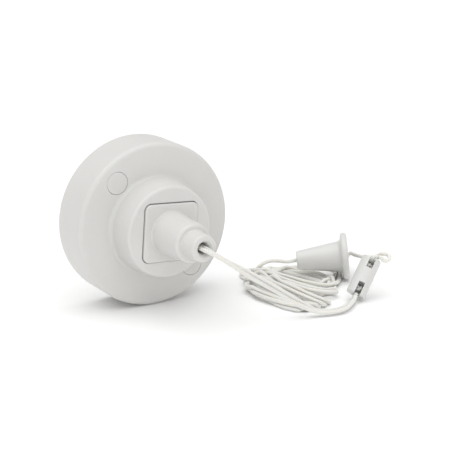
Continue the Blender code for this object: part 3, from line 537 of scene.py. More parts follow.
# ---------------------------------------------------------------- nozzle moulding
body = slab("nozzle_moulding", rounded(BOX, BOX, 3.2, 10), BOX_BACK_W, 11.0, top=0.4, bottom=0.3)
join(body, slab("plate", rounded(PLATE, PLATE, PLATE_CORNER_R, 12), PLATE_W - 5.0, PLATE_W, top=0.6, steps=6))
nozzle = [(0, NOSE_W)]
nozzle += arc(NOSE_TOP_R - 1.1, NOSE_W - 1.1, 1.1, 90, 2, 9)
nozzle += arc(NOSE_FOOT_R + 0.7, CONE_W + 0.7, 0.7, 178, 270, 6)
nozzle += arc(CONE_TOP_R - 1.5, CONE_W - 1.5, 1.5, 90, 3, 11)
nozzle += arc(CONE_FOOT_R + 1.1, PLATE_W + 1.05, 1.1, 177, 262, 7)
nozzle += [(CONE_FOOT_R + 1.2, PLATE_W - 1.0), (0, PLATE_W - 1.0)]
join(body, turned("nozzle", nozzle, 160, phase=0.004))
join(body, turned("nozzle_root", [(0, 13.0), (9.4, 13.0), (9.4, 9.6), (0, 9.6)], 64, phase=0.02))
cut(body, slab("box_room", rounded(BOX - 2 * BOX_WALL, BOX - 2 * BOX_WALL, 1.8, 6), -11.6, 10.4))
bore = [(0, NOSE_W + 1), (FUNNEL_R + 0.7, NOSE_W + 1), (FUNNEL_R + 0.35, NOSE_W + 0.02), (FUNNEL_R + 0.02, NOSE_W - 0.22)]
bore += [(FUNNEL_R - 0.4, NOSE_W - 0.6), (3.0, NOSE_W - 1.0), (2.8, NOSE_W - 1.5), (HOLE_R + 0.06, NOSE_W - 2.2), (HOLE_R, NOSE_W - 3.0)]
bore += [(HOLE_R, CAVITY_END_W + 1.0), (CAVITY_R - 1.0, CAVITY_END_W), (CAVITY_R, CAVITY_END_W - 1.0)]
bore += [(CAVITY_R, STOP_W), (STOP_R, STOP_W), (STOP_R, 8.0), (0, 8.0)]
cut(body, turned("cord_way", bore, 96, phase=0.013))
for k, (u, v) in enumerate(REAR_SCREWS):
    join(body, slab(f"post_{k}", circle(2.2, 32, (u, v)), BOX_BACK_W, 10.8))
    cut(body, slab(f"post_way_{k}", circle(1.25, 24, (u, v)), BOX_BACK_W - 1, -1.5))
for k, (u, v) in enumerate(((14.5, 8.6), (14.5, -8.6), (-14.5, -7.2))):
    cut(body, slab(f"strip_notch_{k}", rounded(6, 3.6, 0.3, 2, (u, v)), BOX_BACK_W - 1.1, BOX_BACK_W + 2.3))
# Two small round marks of ejector pins.
for k, (u, v) in enumerate(((10.6, 11.2), (-11.0, -10.9))):
    cut(body, turned(f"pin_mark_{k}", [(0, PLATE_W + 0.5), (0.62, PLATE_W + 0.5), (0.55, PLATE_W - 0.10), (0, PLATE_W - 0.06)], 28, centre=(u, v)))
finished(body, WHITE, "switch_body", ["mechanism_housing"])

# ---------------------------------------------------------------- base plate
BASE_R = 39.8 - WALL - 0.45
base = turned(
    "base_moulding",
    [(0, BACK_W + 2.4), (BASE_R - 2.0, BACK_W + 2.4), (BASE_R - 1.8, BACK_W + 7.2), (BASE_R - 0.1, BACK_W + 7.2)]
    + [(BASE_R, BACK_W + 5.0), (BASE_R, BACK_W + 0.5)]
    + arc(BASE_R - 0.5, BACK_W + 0.5, 0.5, 0, -90, 4)
    + [(0, BACK_W)],
    192,
)
for k, (u, v) in enumerate(caps_at):
    join(base, slab(f"pillar_{k}", circle(5.4, 48, (u, v)), BACK_W + 1.0, -9.4, top=0.3))
    cut(base, slab(f"pillar_way_{k}", circle(2.15, 36, (u, v)), BACK_W - 1, -8.0))
    cut(base, turned(f"countersink_{k}", [(0, BACK_W - 1), (3.5, BACK_W - 1), (3.0, BACK_W + 0.02), (2.1, BACK_W + 0.9), (0, BACK_W + 0.9)], 40, centre=(u, v), phase=0.05))
join(base, turned("entry_lip", [(0, -17.2), (12.0, -17.2), (12.2, -17.4), (12.2, -21.0), (0, -21.0)], 96, phase=0.01))
entry = [(0, BACK_W - 1), (11.3, BACK_W - 1), (11.1, BACK_W + 0.01), (10.6, BACK_W + 0.35), (10.5, BACK_W + 0.9), (10.5, -17.6), (10.75, -17.1), (10.8, -16.0), (0, -16.0)]
cut(base, turned("entry_way", entry, 96, phase=0.02))
for k in range(2):
    u, v = polar(25.4, 45 + 180 * k)
    spin = Matrix.Translation((u, v, 0)) @ Matrix.Rotation(math.radians(45 + 180 * k), 4, "Z")
    cut(base, slab(f"box_slot_{k}", rounded(7.5, 4.2, 2.05, 10), BACK_W - 2, BACK_W + 4, local=spin))
    cut(base, slab(f"box_slot_edge_{k}", rounded(9.1, 5.8, 2.85, 10), BACK_W - 2, BACK_W + 0.55, top=0.0, local=spin))
for k, (u, v, du, dv) in enumerate(((0, 20.5, 26, 1.4), (0, -20.5, 26, 1.4))):
    join(base, slab(f"base_rib_{k}", rounded(du, dv, 0.3, 3, (u, v)), BACK_W + 1.9, BACK_W + 5.3, top=0.2))
for k in range(2):
    cut(base, slab(f"side_entry_{k}", rounded(9, 6, 0.8, 4, ((BASE_R - 1) * (1 - 2 * k), 0)), BACK_W + 2.7, BACK_W + 9.7))
# Thin moulded rings on the ceiling side: two knock-out outlines, and six shallow ejector marks.
for k, radius in enumerate((15.5, 31.9)):
    ring = [(radius - 0.25, BACK_W - 0.5), (radius + 0.25, BACK_W - 0.5), (radius + 0.18, BACK_W + 0.22), (radius - 0.18, BACK_W + 0.22)]
    cut(base, turned(f"ring_{k}", ring, 128, closed=True, phase=0.03 + k))
for k in range(6):
    u, v = polar(22.4, 5 + 60 * k)
    mark = [(0, BACK_W - 0.5), (1.3, BACK_W - 0.5), (1.25, BACK_W + 0.12), (0, BACK_W + 0.10)]
    cut(base, turned(f"ejector_{k}", mark, 32, centre=(u, v), phase=0.07))
finished(base, BACK_WHITE, "switch_body", ["base_plate"])

# ---------------------------------------------------------------- connector
BAR_R = CONNECTOR_R + 0.2
bar = [(0, CONNECTOR_L)] + [(2.4, CONNECTOR_L)]
bar += arc(BAR_R - 0.9, CONNECTOR_L - 0.9, 0.9, 90, 0, 8)
bar += [(BAR_R, CONNECTOR_L / 2 + 0.16), (BAR_R - 0.07, CONNECTOR_L / 2), (BAR_R, CONNECTOR_L / 2 - 0.16)]
bar += arc(BAR_R - 1.0, 1.0, 1.0, 0, -90, 8) + [(2.4, 0)]
bar += [(0, 0)]
connector = turned("connector_bar", bar, 96, matrix=CONNECTOR @ Matrix.Translation((0, 0, 0.3 * MM)))
for k, (middle, centre) in enumerate(((3.0, 2.2), (CONNECTOR_L - 3.0, CONNECTOR_L - 0.9))):
    # A slot open to the side and to the end, with a wider room inside for the knot.
    out = -1 if k == 0 else 1
    lying = Matrix.Translation((0, 0, centre)) @ Matrix.Rotation(math.pi / 2, 4, "Y")
    cut(connector, slab(f"slot_{k}", rounded(9.0, 3.0, 0.25, 4), -0.2, 8.1, matrix=CONNECTOR, local=lying))
    room = Matrix.Translation((0, 0, middle - out * 0.9)) @ Matrix.Rotation(math.pi / 2, 4, "Y")
    cut(connector, slab(f"room_{k}", rounded(4.6, 4.9, 0.8, 6), -1.7, 3.5, matrix=CONNECTOR, local=room))
finished(connector, PULL_WHITE, "pull_cord", ["cord_connector"])

# ---------------------------------------------------------------- acorn pull
bell = [(1.35, -ACORN_L + 0.25), (1.6, -ACORN_L)]
bell += arc(ACORN_NECK_R - 0.8, -ACORN_L + 0.8, 0.8, -90, -4, 8)
bell += [(ACORN_NECK_R + (7.72 - ACORN_NECK_R) * f, -ACORN_L + 0.85 + (ACORN_L - 6.35) * f) for f in (0.25, 0.5, 0.75, 1.0)]
bell += arc(7.76 + 1.9, -5.3, 1.9, 180, 90, 8)[1:-1]
bell += arc(ACORN_R - 1.66, -ACORN_THICK / 2 - 0.03, 1.66, -100, 0, 10)
bell += arc(ACORN_R - 1.66, -ACORN_THICK / 2 + 0.03, 1.66, 0, 90, 10)
bell += [(8.0, 0), (7.8, -0.05)] + arc(7.0, -0.8, 0.7, 60, 0, 4) + [(6.3, -7.0), (3.4, -ACORN_L + 5.0), (3.2, -ACORN_L + 2.4), (2.9, -ACORN_L + 2.2), (1.35, -ACORN_L + 2.2)]
acorn = turned("acorn_bell", bell[::-1], 144, matrix=ACORN, closed=True)
finished(acorn, PULL_WHITE, "pull_cord", ["acorn_pull"], angle=50)


# ---------------------------------------------------------------- cords
def spline_points(route, spacing):
    """Points this far apart on a smooth curve through the route's points."""
    p = np.array(route, float)
    knots = np.concatenate([[0], np.cumsum(np.sqrt(np.linalg.norm(np.diff(p, axis=0), axis=1)))])
    first, last = 2 * p[0] - p[1], 2 * p[-1] - p[-2]
    q = np.vstack([first, p, last])
    t = np.concatenate([[-knots[1]], knots, [2 * knots[-1] - knots[-2]]])
    fine = []
    for i in range(1, len(q) - 2):
        s = np.linspace(t[i], t[i + 1], 24, endpoint=False)[:, None]
        a1 = (t[i] - s) / (t[i] - t[i - 1]) * q[i - 1] + (s - t[i - 1]) / (t[i] - t[i - 1]) * q[i]
        a2 = (t[i + 1] - s) / (t[i + 1] - t[i]) * q[i] + (s - t[i]) / (t[i + 1] - t[i]) * q[i + 1]
        a3 = (t[i + 2] - s) / (t[i + 2] - t[i + 1]) * q[i + 1] + (s - t[i + 1]) / (t[i + 2] - t[i + 1]) * q[i + 2]
        b1 = (t[i + 1] - s) / (t[i + 1] - t[i - 1]) * a1 + (s - t[i - 1]) / (t[i + 1] - t[i - 1]) * a2
        b2 = (t[i + 2] - s) / (t[i + 2] - t[i]) * a2 + (s - t[i]) / (t[i + 2] - t[i]) * a3
        fine.append((t[i + 1] - s) / (t[i + 1] - t[i]) * b1 + (s - t[i]) / (t[i + 1] - t[i]) * b2)
    fine = np.vstack(fine + [p[-1:]])
    run = np.concatenate([[0], np.cumsum(np.linalg.norm(np.diff(fine, axis=0), axis=1))])
    count = max(2, round(run[-1] / spacing))
    return np.stack([np.interp(np.linspace(0, run[-1], count + 1), run, fine[:, k]) for k in range(3)], 1)


def braided(name, points, diameter, sides=16, pitch=BRAID_PITCH, steps=4, relief=0.065, squeeze=None, twist=0.0, material=None):
    """A braided cord along points in millimetres: a tube whose skin rises and falls with the braid, with the
    braid's own UV. squeeze is not used."""
    line = spline_points(points, pitch / steps)
    n = len(line)
    tangent = np.gradient(line, axis=0)
    tangent /= np.linalg.norm(tangent, axis=1)[:, None]
    normal = np.zeros_like(line)
    start = np.cross(tangent[0], (0.13, 0.31, 0.94))
    normal[0] = start / np.linalg.norm(start)
    for i in range(1, n):
        v = normal[i - 1] - tangent[i] * (normal[i - 1] @ tangent[i])
        normal[i] = v / np.linalg.norm(v)
    across = np.cross(tangent, normal)
    run = np.arange(n) * pitch / steps
    angle = 2 * math.pi * np.arange(sides) / sides
    turn_ = np.radians(twist) * run[:, None] / 10.0
    weave = np.cos(4 * angle)[None, :] * np.cos(2 * math.pi * run / pitch)[:, None]
    radius = diameter / 2 * (1 - relief / 2 + relief * weave)
    around = angle[None, :] + turn_
    ring = line[:, None, :] + radius[:, :, None] * (
        np.cos(around)[:, :, None] * normal[:, None, :] + np.sin(around)[:, :, None] * across[:, None, :]
    )
    points3 = ring.reshape(-1, 3) * MM
    i, j = np.meshgrid(np.arange(n - 1), np.arange(sides), indexing="ij")
    k = (j + 1) % sides
    quads = np.stack([i * sides + j, i * sides + k, (i + 1) * sides + k, (i + 1) * sides + j], -1).reshape(-1, 4)
    mesh = bpy.data.meshes.new(name)
    mesh.vertices.add(len(points3))
    mesh.vertices.foreach_set("co", points3.astype(np.float32).ravel())
    faces = len(quads) + 2
    loops = np.concatenate([quads.ravel(), np.arange(sides)[::-1], (n - 1) * sides + np.arange(sides)])
    mesh.loops.add(len(loops))
    mesh.loops.foreach_set("vertex_index", loops.astype(np.int32))
    mesh.polygons.add(faces)
    starts = np.concatenate([np.arange(len(quads)) * 4, [len(quads) * 4, len(quads) * 4 + sides]])
    mesh.polygons.foreach_set("loop_start", starts.astype(np.int32))
    mesh.update(calc_edges=True)
    layer = mesh.uv_layers.new(name="braid")
    u0, v0 = j / sides, i / steps
    quad_uv = np.stack(
        [np.stack([u0, v0], -1), np.stack([u0 + 1 / sides, v0], -1), np.stack([u0 + 1 / sides, v0 + 1 / steps], -1), np.stack([u0, v0 + 1 / steps], -1)],
        2,
    ).reshape(-1, 2)
    cap_uv = np.stack([np.arange(2 * sides) / sides, np.zeros(2 * sides)], 1)
    layer.data.foreach_set("uv", np.concatenate([quad_uv, cap_uv]).astype(np.float32).ravel())
    mesh.validate()
    mesh.shade_smooth()
    made = link(name, mesh)
    mesh.materials.append(material or CORD)
    return made, line


def knot_points(size, turns=1.0):
    """An overhand knot pulled up: a trefoil squeezed along its axis."""
    t = np.linspace(0.35, 2 * math.pi - 0.35, 40)
    x = np.sin(t) + 1.55 * np.sin(2 * t)
    y = np.cos(t) - 1.55 * np.cos(2 * t)
    z = -1.05 * np.sin(3 * t)
    return np.stack([x, y, z], 1) * size


def knot(name, matrix, replaced, size=0.52, diameter=1.75, spin=0.0, stretch=1.0):
    local = np.array(matrix @ Matrix.Rotation(spin, 4, "Z"))
    points = knot_points(size) * (1, 1, stretch)
    points = points @ local[:3, :3].T + local[:3, 3] / MM
    made, _ = braided(name, points, diameter, sides=16, relief=0.07)
    return placed(made, "pull_cord", [replaced])


lead_route = [
    (0, FACE_Y - 35.7, AXIS_Z),
    (0, -28.0, AXIS_Z),
    (0, -31.6, AXIS_Z),
    (0.6, -35.4, AXIS_Z - 0.4),
    (3.2, -37.2, AXIS_Z - 2.2),
    (8.0, -37.8, 34.2),
    (16.2, -38.4, 28.6),
    (31.3, -40.0, 18.6),
    (46.0, -41.8, 8.4),
    (54.0, -43.4, 3.4),
    (59.6, -45.2, 2.3),
    (65.0, -46.4, 2.3),
    (70.6, -45.4, 2.3),
    (76.6, -41.4, 2.4),
    at(CONNECTOR, 3.4, 0, -3.6),
    at(CONNECTOR, 1.6, 0, 0.4),
]
FACE = (-0.42, -0.80, 0.42)
SIDES = [(0.0, (1.0, 0, 0.1)), (0.07, (1.0, 0.15, 0.1)), (0.13, (0.4, 1.0, 0.05)), (0.2, (0.1, 1.0, 0.2)), (0.3, (0.2, 0.5, 0.7))]
SIDES += [(0.4, (0.2, 0.15, 1.0)), (0.55, (0.1, 0.1, 1.0)), (0.64, (-0.1, 0.5, 0.6))]
SIDES += [(0.74, (-0.3, 0.9, 0.1)), (0.84, (-0.55, 0.8, 0.1)), (0.95, tuple(-c for c in FACE)), (1.0, tuple(-c for c in FACE))]


def side_by_side(centre, sides, gap):
    p = np.array(centre, float)
    along = np.gradient(p, axis=0)
    along /= np.linalg.norm(along, axis=1)[:, None]
    run = np.linspace(0, 1, len(p))
    across = np.stack([np.interp(run, [s[0] for s in sides], [s[1][k] for s in sides]) for k in range(3)], 1)
    across -= (across * along).sum(1)[:, None] * along
    across /= np.linalg.norm(across, axis=1)[:, None]
    wide = np.asarray(gap)[:, None] if np.ndim(gap) else gap
    return p + across * wide / 2, p - across * wide / 2


lead = spline_points(lead_route, 2.4)
pair = side_by_side(lead, SIDES, CORD_D - 0.18)
knot_lead = knot("lead_knot_tied", CONNECTOR @ Matrix.Translation((0.6 * MM, 0, 4.0 * MM)), "lead_knot")
knot_plunger = knot("plunger_knot_tied", SWITCH @ Matrix.Translation((0, 0, 33.5 * MM)), "plunger_knot", 0.44, 1.5)
for side, points in zip("ab", pair):
    strand, line = braided(f"lead_cord_{side}", points, CORD_D, twist=9.0)
    placed(strand, "pull_cord", [f"lead_strand_{side}"])

# ---------------------------------------------------------------- long cord
# The hank's centreline, laid turn on turn: eleven turns, each line resting on the ones below.
HANK = [
    (110.50, 8.50, 5.50), (109.72, 11.12, 4.31), (107.67, 12.80, 3.07), (104.79, 12.49, 2.70), (102.61, 10.51, 3.03), (101.67, 7.91, 1.99),
    (101.14, 5.12, 1.11), (99.80, 2.45, 1.08), (97.90, 0.14, 1.08), (95.83, -2.04, 1.08), (93.73, -4.17, 1.08), (91.54, -6.22, 1.08),
    (89.03, -7.73, 1.47), (86.79, -8.83, 3.05), (83.90, -9.52, 2.92), (81.26, -9.60, 1.53), (78.40, -9.01, 1.08), (75.85, -7.47, 1.08),
    (74.19, -5.01, 1.08), (73.21, -2.18, 1.08), (72.44, 0.70, 1.30), (71.34, 3.21, 2.46), (69.19, 5.13, 3.03), (66.49, 6.43, 3.07),
    (63.74, 7.60, 3.02), (60.77, 7.79, 3.01), (57.82, 7.33, 2.99), (54.99, 6.35, 3.05), (52.33, 5.01, 2.89), (50.01, 3.49, 1.79),
    (48.27, 1.16, 1.17), (47.32, -1.67, 1.17), (46.78, -4.60, 1.43), (46.31, -7.54, 1.79), (46.37, -10.53, 1.84), (46.68, -13.51, 1.62),
    (47.09, -16.47, 1.32), (47.45, -19.44, 1.10), (47.55, -22.43, 1.08), (47.84, -25.40, 1.08), (48.52, -28.32, 1.08), (49.80, -31.03, 1.08),
    (51.16, -33.57, 1.08), (53.97, -34.02, 1.08), (56.00, -32.09, 1.08), (55.68, -29.20, 1.08), (53.22, -27.58, 1.08), (51.62, -25.20, 1.08),
    (52.17, -22.31, 1.08), (53.29, -19.54, 1.08), (53.23, -16.56, 1.08), (52.83, -13.59, 1.08), (52.77, -10.60, 1.08), (52.86, -7.60, 1.08),
    (52.86, -4.60, 1.08), (52.64, -1.61, 1.08), (52.50, 1.38, 1.08), (52.94, 4.34, 1.08), (53.14, 7.33, 1.08), (52.47, 10.22, 1.08),
    (51.78, 13.06, 1.08), (53.41, 15.48, 1.08), (55.33, 17.69, 1.08), (55.47, 20.67, 1.08), (56.20, 23.55, 1.08), (57.71, 26.13, 1.08),
    (60.04, 28.00, 1.08), (62.87, 28.90, 1.08), (65.84, 28.61, 1.08), (68.63, 27.53, 1.08), (71.10, 25.85, 1.08), (73.18, 23.69, 1.08),
    (75.89, 22.44, 1.08), (78.49, 20.97, 1.08), (80.36, 18.65, 1.08), (82.09, 16.21, 1.08), (83.92, 13.84, 1.08), (85.39, 11.23, 1.08),
    (86.56, 8.47, 1.08), (87.51, 5.63, 1.08), (88.19, 2.71, 1.08), (88.50, -0.27, 1.08), (88.28, -3.26, 1.08), (87.37, -6.11, 1.08),
    (86.52, -8.95, 1.08), (85.95, -11.61, 2.25), (83.97, -13.57, 2.99), (81.67, -14.99, 1.72), (78.86, -15.55, 1.08), (76.14, -14.41, 1.08),
    (74.47, -11.95, 1.08), (73.49, -9.12, 1.08), (72.50, -6.29, 1.08), (71.47, -3.48, 1.08), (70.67, -0.59, 1.08), (70.03, 2.34, 1.08),
    (69.63, 5.31, 1.08), (69.00, 8.23, 1.09), (67.27, 10.42, 1.99), (64.76, 11.49, 2.99), (61.79, 11.85, 2.98), (58.80, 11.64, 2.99),
    (55.88, 11.00, 3.10), (53.09, 9.92, 3.04), (50.77, 8.41, 2.04), (49.01, 6.17, 1.27), (47.52, 3.64, 1.82), (46.47, 0.91, 2.39),
    (45.75, -2.00, 2.55), (45.06, -4.91, 2.64), (44.54, -7.85, 2.87), (44.63, -10.84, 2.93), (45.11, -13.80, 2.91), (45.76, -16.72, 2.87),
    (46.44, -19.64, 2.88), (47.15, -22.55, 3.05), (48.00, -25.43, 3.07), (49.02, -28.24, 3.00), (50.22, -30.99, 3.00), (51.54, -33.68, 3.07),
    (53.46, -35.73, 2.34), (56.08, -35.37, 1.19), (57.88, -33.07, 1.08), (58.05, -30.12, 1.08), (57.13, -27.27, 1.08), (56.29, -24.40, 1.08),
    (55.84, -21.44, 1.08), (55.63, -18.45, 1.08), (55.52, -15.45, 1.08), (55.44, -12.45, 1.08), (55.37, -9.46, 1.08), (55.29, -6.46, 1.08),
    (55.21, -3.46, 1.08), (55.14, -0.47, 1.08), (55.10, 2.53, 1.08), (55.16, 5.53, 1.08), (55.07, 8.52, 1.08), (54.38, 11.44, 1.08),
    (55.05, 14.22, 1.08), (56.96, 16.48, 1.08), (57.47, 19.39, 1.08), (57.64, 22.37, 1.08), (59.14, 24.94, 1.08), (61.55, 26.68, 1.08),
    (64.49, 26.93, 1.08), (67.31, 25.93, 1.08), (69.79, 24.27, 1.08), (71.92, 22.17, 1.08), (74.56, 20.79, 1.08), (77.20, 19.40, 1.08),
    (78.85, 16.95, 1.08), (79.77, 14.10, 1.08), (80.75, 11.26, 1.08), (81.70, 8.42, 1.08), (82.52, 5.54, 1.08), (83.25, 2.63, 1.08),
    (84.03, -0.26, 1.08), (84.81, -3.16, 1.08), (84.93, -6.13, 1.08), (84.52, -9.10, 1.08), (84.34, -12.09, 1.08), (84.09, -15.05, 1.08),
    (82.40, -17.51, 1.08), (80.03, -19.29, 1.08), (77.05, -19.46, 1.08), (74.15, -18.90, 1.08), (72.57, -16.47, 1.08), (72.27, -13.49, 1.08),
    (71.76, -10.54, 1.08), (70.85, -7.68, 1.08), (69.80, -4.87, 1.08), (68.97, -1.99, 1.08), (68.30, 0.93, 1.08), (67.75, 3.87, 1.08),
    (67.36, 6.82, 1.23), (66.08, 8.88, 2.77), (63.28, 9.75, 2.97), (60.29, 9.77, 2.97), (57.33, 9.29, 2.99), (54.49, 8.35, 3.03),
    (51.81, 7.01, 3.01), (49.01, 5.99, 3.29), (46.50, 4.43, 3.39), (45.21, 1.81, 3.77), (45.17, -1.10, 4.42), (45.78, -4.02, 4.51),
    (46.21, -6.95, 4.06), (46.63, -9.91, 3.85), (47.18, -12.86, 3.81), (47.75, -15.80, 3.80), (48.31, -18.74, 3.74), (48.95, -21.67, 3.62),
    (49.80, -24.54, 3.44), (50.82, -27.34, 3.17), (52.01, -30.09, 2.98), (53.29, -32.76, 3.35), (54.78, -35.30, 3.76), (56.82, -36.78, 2.42),
    (59.17, -35.80, 1.12), (60.38, -33.17, 1.08), (60.11, -30.19, 1.08), (59.38, -27.28, 1.08), (58.88, -24.33, 1.08), (58.65, -21.34, 1.08),
    (58.49, -18.35, 1.08), (58.31, -15.35, 1.08), (58.13, -12.36, 1.08), (57.95, -9.37, 1.08), (57.76, -6.38, 1.08), (57.57, -3.38, 1.08),
    (57.37, -0.39, 1.08), (57.22, 2.60, 1.08), (57.19, 5.60, 1.08), (57.13, 8.60, 1.08), (56.77, 11.56, 1.18), (55.56, 13.58, 2.83),
    (52.78, 13.81, 3.63), (50.83, 11.75, 4.11), (50.57, 8.84, 4.65), (50.62, 5.89, 5.13), (50.53, 2.89, 5.03), (50.45, -0.10, 5.04),
    (50.44, -3.10, 5.09), (50.48, -6.10, 5.08), (50.57, -9.09, 5.04), (50.72, -12.09, 4.98), (50.96, -15.07, 4.88), (51.26, -18.06, 4.77),
    (51.64, -21.02, 4.63), (52.19, -23.97, 4.42), (52.91, -26.86, 4.15), (53.92, -29.66, 3.82), (55.29, -32.31, 3.57), (56.99, -34.77, 3.63),
    (59.33, -36.45, 3.13), (61.72, -35.96, 1.57), (63.15, -33.51, 1.08), (62.92, -30.54, 1.08), (62.38, -27.60, 1.08), (62.02, -24.62, 1.08),
    (61.74, -21.63, 1.08), (61.47, -18.65, 1.08), (61.19, -15.66, 1.08), (60.91, -12.68, 1.08), (60.63, -9.69, 1.08), (60.35, -6.71, 1.08),
    (60.07, -3.72, 1.08), (59.79, -0.74, 1.08), (59.50, 2.25, 1.08), (59.26, 5.23, 1.08), (59.12, 8.23, 1.08), (58.88, 11.21, 1.09),
    (58.25, 14.06, 1.71), (58.12, 16.86, 2.74), (56.66, 19.41, 2.93), (56.40, 22.29, 2.86), (58.54, 24.20, 2.80), (61.27, 23.68, 3.16),
    (62.55, 21.13, 3.40), (61.28, 18.52, 2.96), (60.19, 15.80, 3.14), (59.90, 13.13, 4.45), (59.32, 10.29, 4.88), (57.85, 7.70, 4.92),
    (57.13, 4.82, 5.23), (56.94, 1.84, 5.45), (56.85, -1.16, 5.62), (56.82, -4.15, 5.71), (56.89, -7.15, 5.74), (57.05, -10.14, 5.74),
    (57.24, -13.13, 5.72), (57.42, -16.13, 5.66), (57.62, -19.12, 5.56), (57.94, -22.09, 5.40), (58.45, -25.04, 5.16), (59.19, -27.92, 4.83),
    (60.13, -30.74, 4.45), (61.16, -33.52, 4.03), (63.00, -35.59, 3.10), (65.46, -35.41, 1.61), (67.17, -33.15, 1.08), (66.98, -30.20, 1.08),
    (66.22, -27.30, 1.08), (65.71, -24.35, 1.08), (65.35, -21.37, 1.08), (64.99, -18.40, 1.08), (64.62, -15.42, 1.08), (64.24, -12.45, 1.08),
    (63.87, -9.47, 1.08), (63.52, -6.49, 1.08), (63.10, -3.53, 1.08), (62.50, -0.59, 1.08), (61.93, 2.35, 1.08), (61.46, 5.31, 1.08),
    (61.14, 8.29, 1.08), (61.00, 11.29, 1.08), (60.17, 14.16, 1.08), (59.51, 17.08, 1.08), (59.47, 20.08, 1.08), (60.11, 22.90, 1.08),
    (62.33, 24.84, 1.08), (65.17, 24.47, 1.08), (66.93, 22.16, 1.08), (67.15, 19.37, 1.88), (66.64, 17.13, 3.76), (65.28, 14.61, 4.40),
    (64.01, 11.95, 4.87), (63.06, 9.11, 4.89), (61.82, 6.41, 4.63), (61.00, 3.66, 5.22), (60.77, 0.88, 6.31), (60.29, -2.05, 6.66),
    (60.03, -5.02, 6.39), (60.19, -7.99, 6.02), (60.55, -10.96, 5.83), (60.90, -13.93, 5.76), (61.18, -16.92, 5.70), (61.50, -19.90, 5.60),
    (61.86, -22.87, 5.41), (62.35, -25.81, 5.13), (63.15, -28.67, 4.77), (64.35, -31.39, 4.38), (66.09, -33.70, 3.71), (68.57, -34.17, 2.31),
    (70.51, -32.34, 1.16), (70.63, -29.41, 1.08), (69.66, -26.57, 1.08), (68.93, -23.67, 1.08), (68.43, -20.71, 1.08), (67.97, -17.75, 1.08),
    (67.51, -14.79, 1.08), (67.04, -11.83, 1.08), (66.54, -8.87, 1.08), (65.90, -5.94, 1.08), (65.13, -3.04, 1.08), (64.45, -0.12, 1.08),
    (63.86, 2.82, 1.08), (63.42, 5.78, 1.08), (63.15, 8.76, 1.08), (62.96, 11.75, 1.08), (62.11, 14.62, 1.08), (61.91, 17.58, 1.08),
    (61.48, 20.45, 1.35), (59.71, 21.59, 3.23), (57.55, 20.44, 4.59), (57.14, 17.58, 4.87), (57.65, 14.71, 4.46), (57.88, 11.98, 5.59),
    (58.51, 9.34, 6.74), (59.11, 6.50, 6.17), (59.03, 3.62, 5.30), (59.53, 0.74, 4.76), (60.64, -2.04, 4.72), (61.57, -4.85, 5.13),
    (62.13, -7.77, 5.55), (62.55, -10.73, 5.73), (63.03, -13.69, 5.76), (63.68, -16.61, 5.70), (64.55, -19.48, 5.59), (65.78, -22.20, 5.42),
    (67.54, -24.60, 5.15), (69.95, -26.31, 4.75), (72.78, -27.09, 4.21), (75.73, -27.27, 3.70), (78.60, -26.95, 3.08), (80.12, -24.82, 1.95),
    (79.15, -22.25, 1.11), (76.39, -21.40, 1.08), (73.43, -21.26, 1.08), (71.40, -19.18, 1.08), (70.52, -16.32, 1.08), (70.20, -13.34, 1.08),
    (69.62, -10.41, 1.08), (68.64, -7.58, 1.08), (67.67, -4.74, 1.08), (66.90, -1.84, 1.08), (66.26, 1.08, 1.08), (65.74, 4.04, 1.08),
    (65.34, 7.00, 1.08), (65.11, 9.99, 1.08), (64.70, 12.96, 1.08), (63.94, 15.85, 1.08), (63.46, 18.79, 1.09), (62.31, 21.49, 1.15),
    (63.28, 24.00, 2.00), (65.95, 24.47, 2.63), (68.08, 22.76, 3.17), (67.75, 19.99, 3.77), (65.45, 18.20, 4.35), (63.78, 15.78, 4.77),
    (62.40, 13.12, 4.87), (61.50, 10.33, 5.39), (61.41, 7.56, 6.43), (62.30, 4.72, 6.46), (63.01, 1.84, 6.08), (63.46, -1.11, 5.82),
    (64.01, -4.06, 5.75), (64.56, -7.01, 5.75), (65.11, -9.95, 5.75), (65.73, -12.88, 5.73), (66.49, -15.78, 5.67), (67.51, -18.59, 5.56),
    (68.96, -21.20, 5.33), (71.20, -23.10, 4.87), (74.04, -23.54, 4.17), (76.84, -22.77, 3.49), (79.49, -21.49, 2.90), (82.05, -20.13, 2.16),
    (84.32, -18.32, 1.47), (85.93, -15.84, 1.08), (87.22, -13.15, 1.30), (88.81, -10.75, 2.10), (90.18, -8.28, 2.99), (90.46, -5.40, 2.56),
    (91.05, -2.73, 1.36), (91.72, 0.17, 1.08), (92.09, 3.14, 1.08), (91.94, 6.13, 1.08), (91.14, 9.01, 1.08), (89.72, 11.64, 1.08),
    (87.78, 13.92, 1.08), (85.54, 15.90, 1.15), (83.23, 17.55, 2.06), (80.56, 18.33, 3.01), (77.57, 18.33, 2.96), (74.88, 18.41, 1.68),
    (71.98, 18.36, 1.08), (69.04, 17.80, 1.08), (66.14, 17.47, 1.29), (63.95, 18.34, 3.08), (61.68, 18.57, 4.82), (59.16, 17.36, 5.42),
    (58.52, 14.64, 6.33), (60.29, 12.36, 6.76), (62.58, 10.49, 7.01), (64.02, 7.93, 6.52), (65.22, 5.25, 5.92), (66.37, 2.49, 5.77),
    (67.43, -0.31, 5.70), (68.47, -3.12, 5.59), (69.61, -5.89, 5.42), (70.93, -8.57, 5.19), (72.52, -11.09, 4.90), (74.43, -13.37, 4.53),
    (76.69, -15.29, 4.08), (79.33, -16.57, 3.57), (82.27, -16.82, 3.15), (85.15, -16.06, 3.07), (87.76, -14.66, 2.72), (89.91, -12.74, 1.93),
    (91.94, -10.60, 1.38), (93.98, -8.42, 1.11), (95.97, -6.18, 1.08), (97.89, -3.88, 1.08), (99.74, -1.52, 1.08), (101.45, 0.94, 1.08),
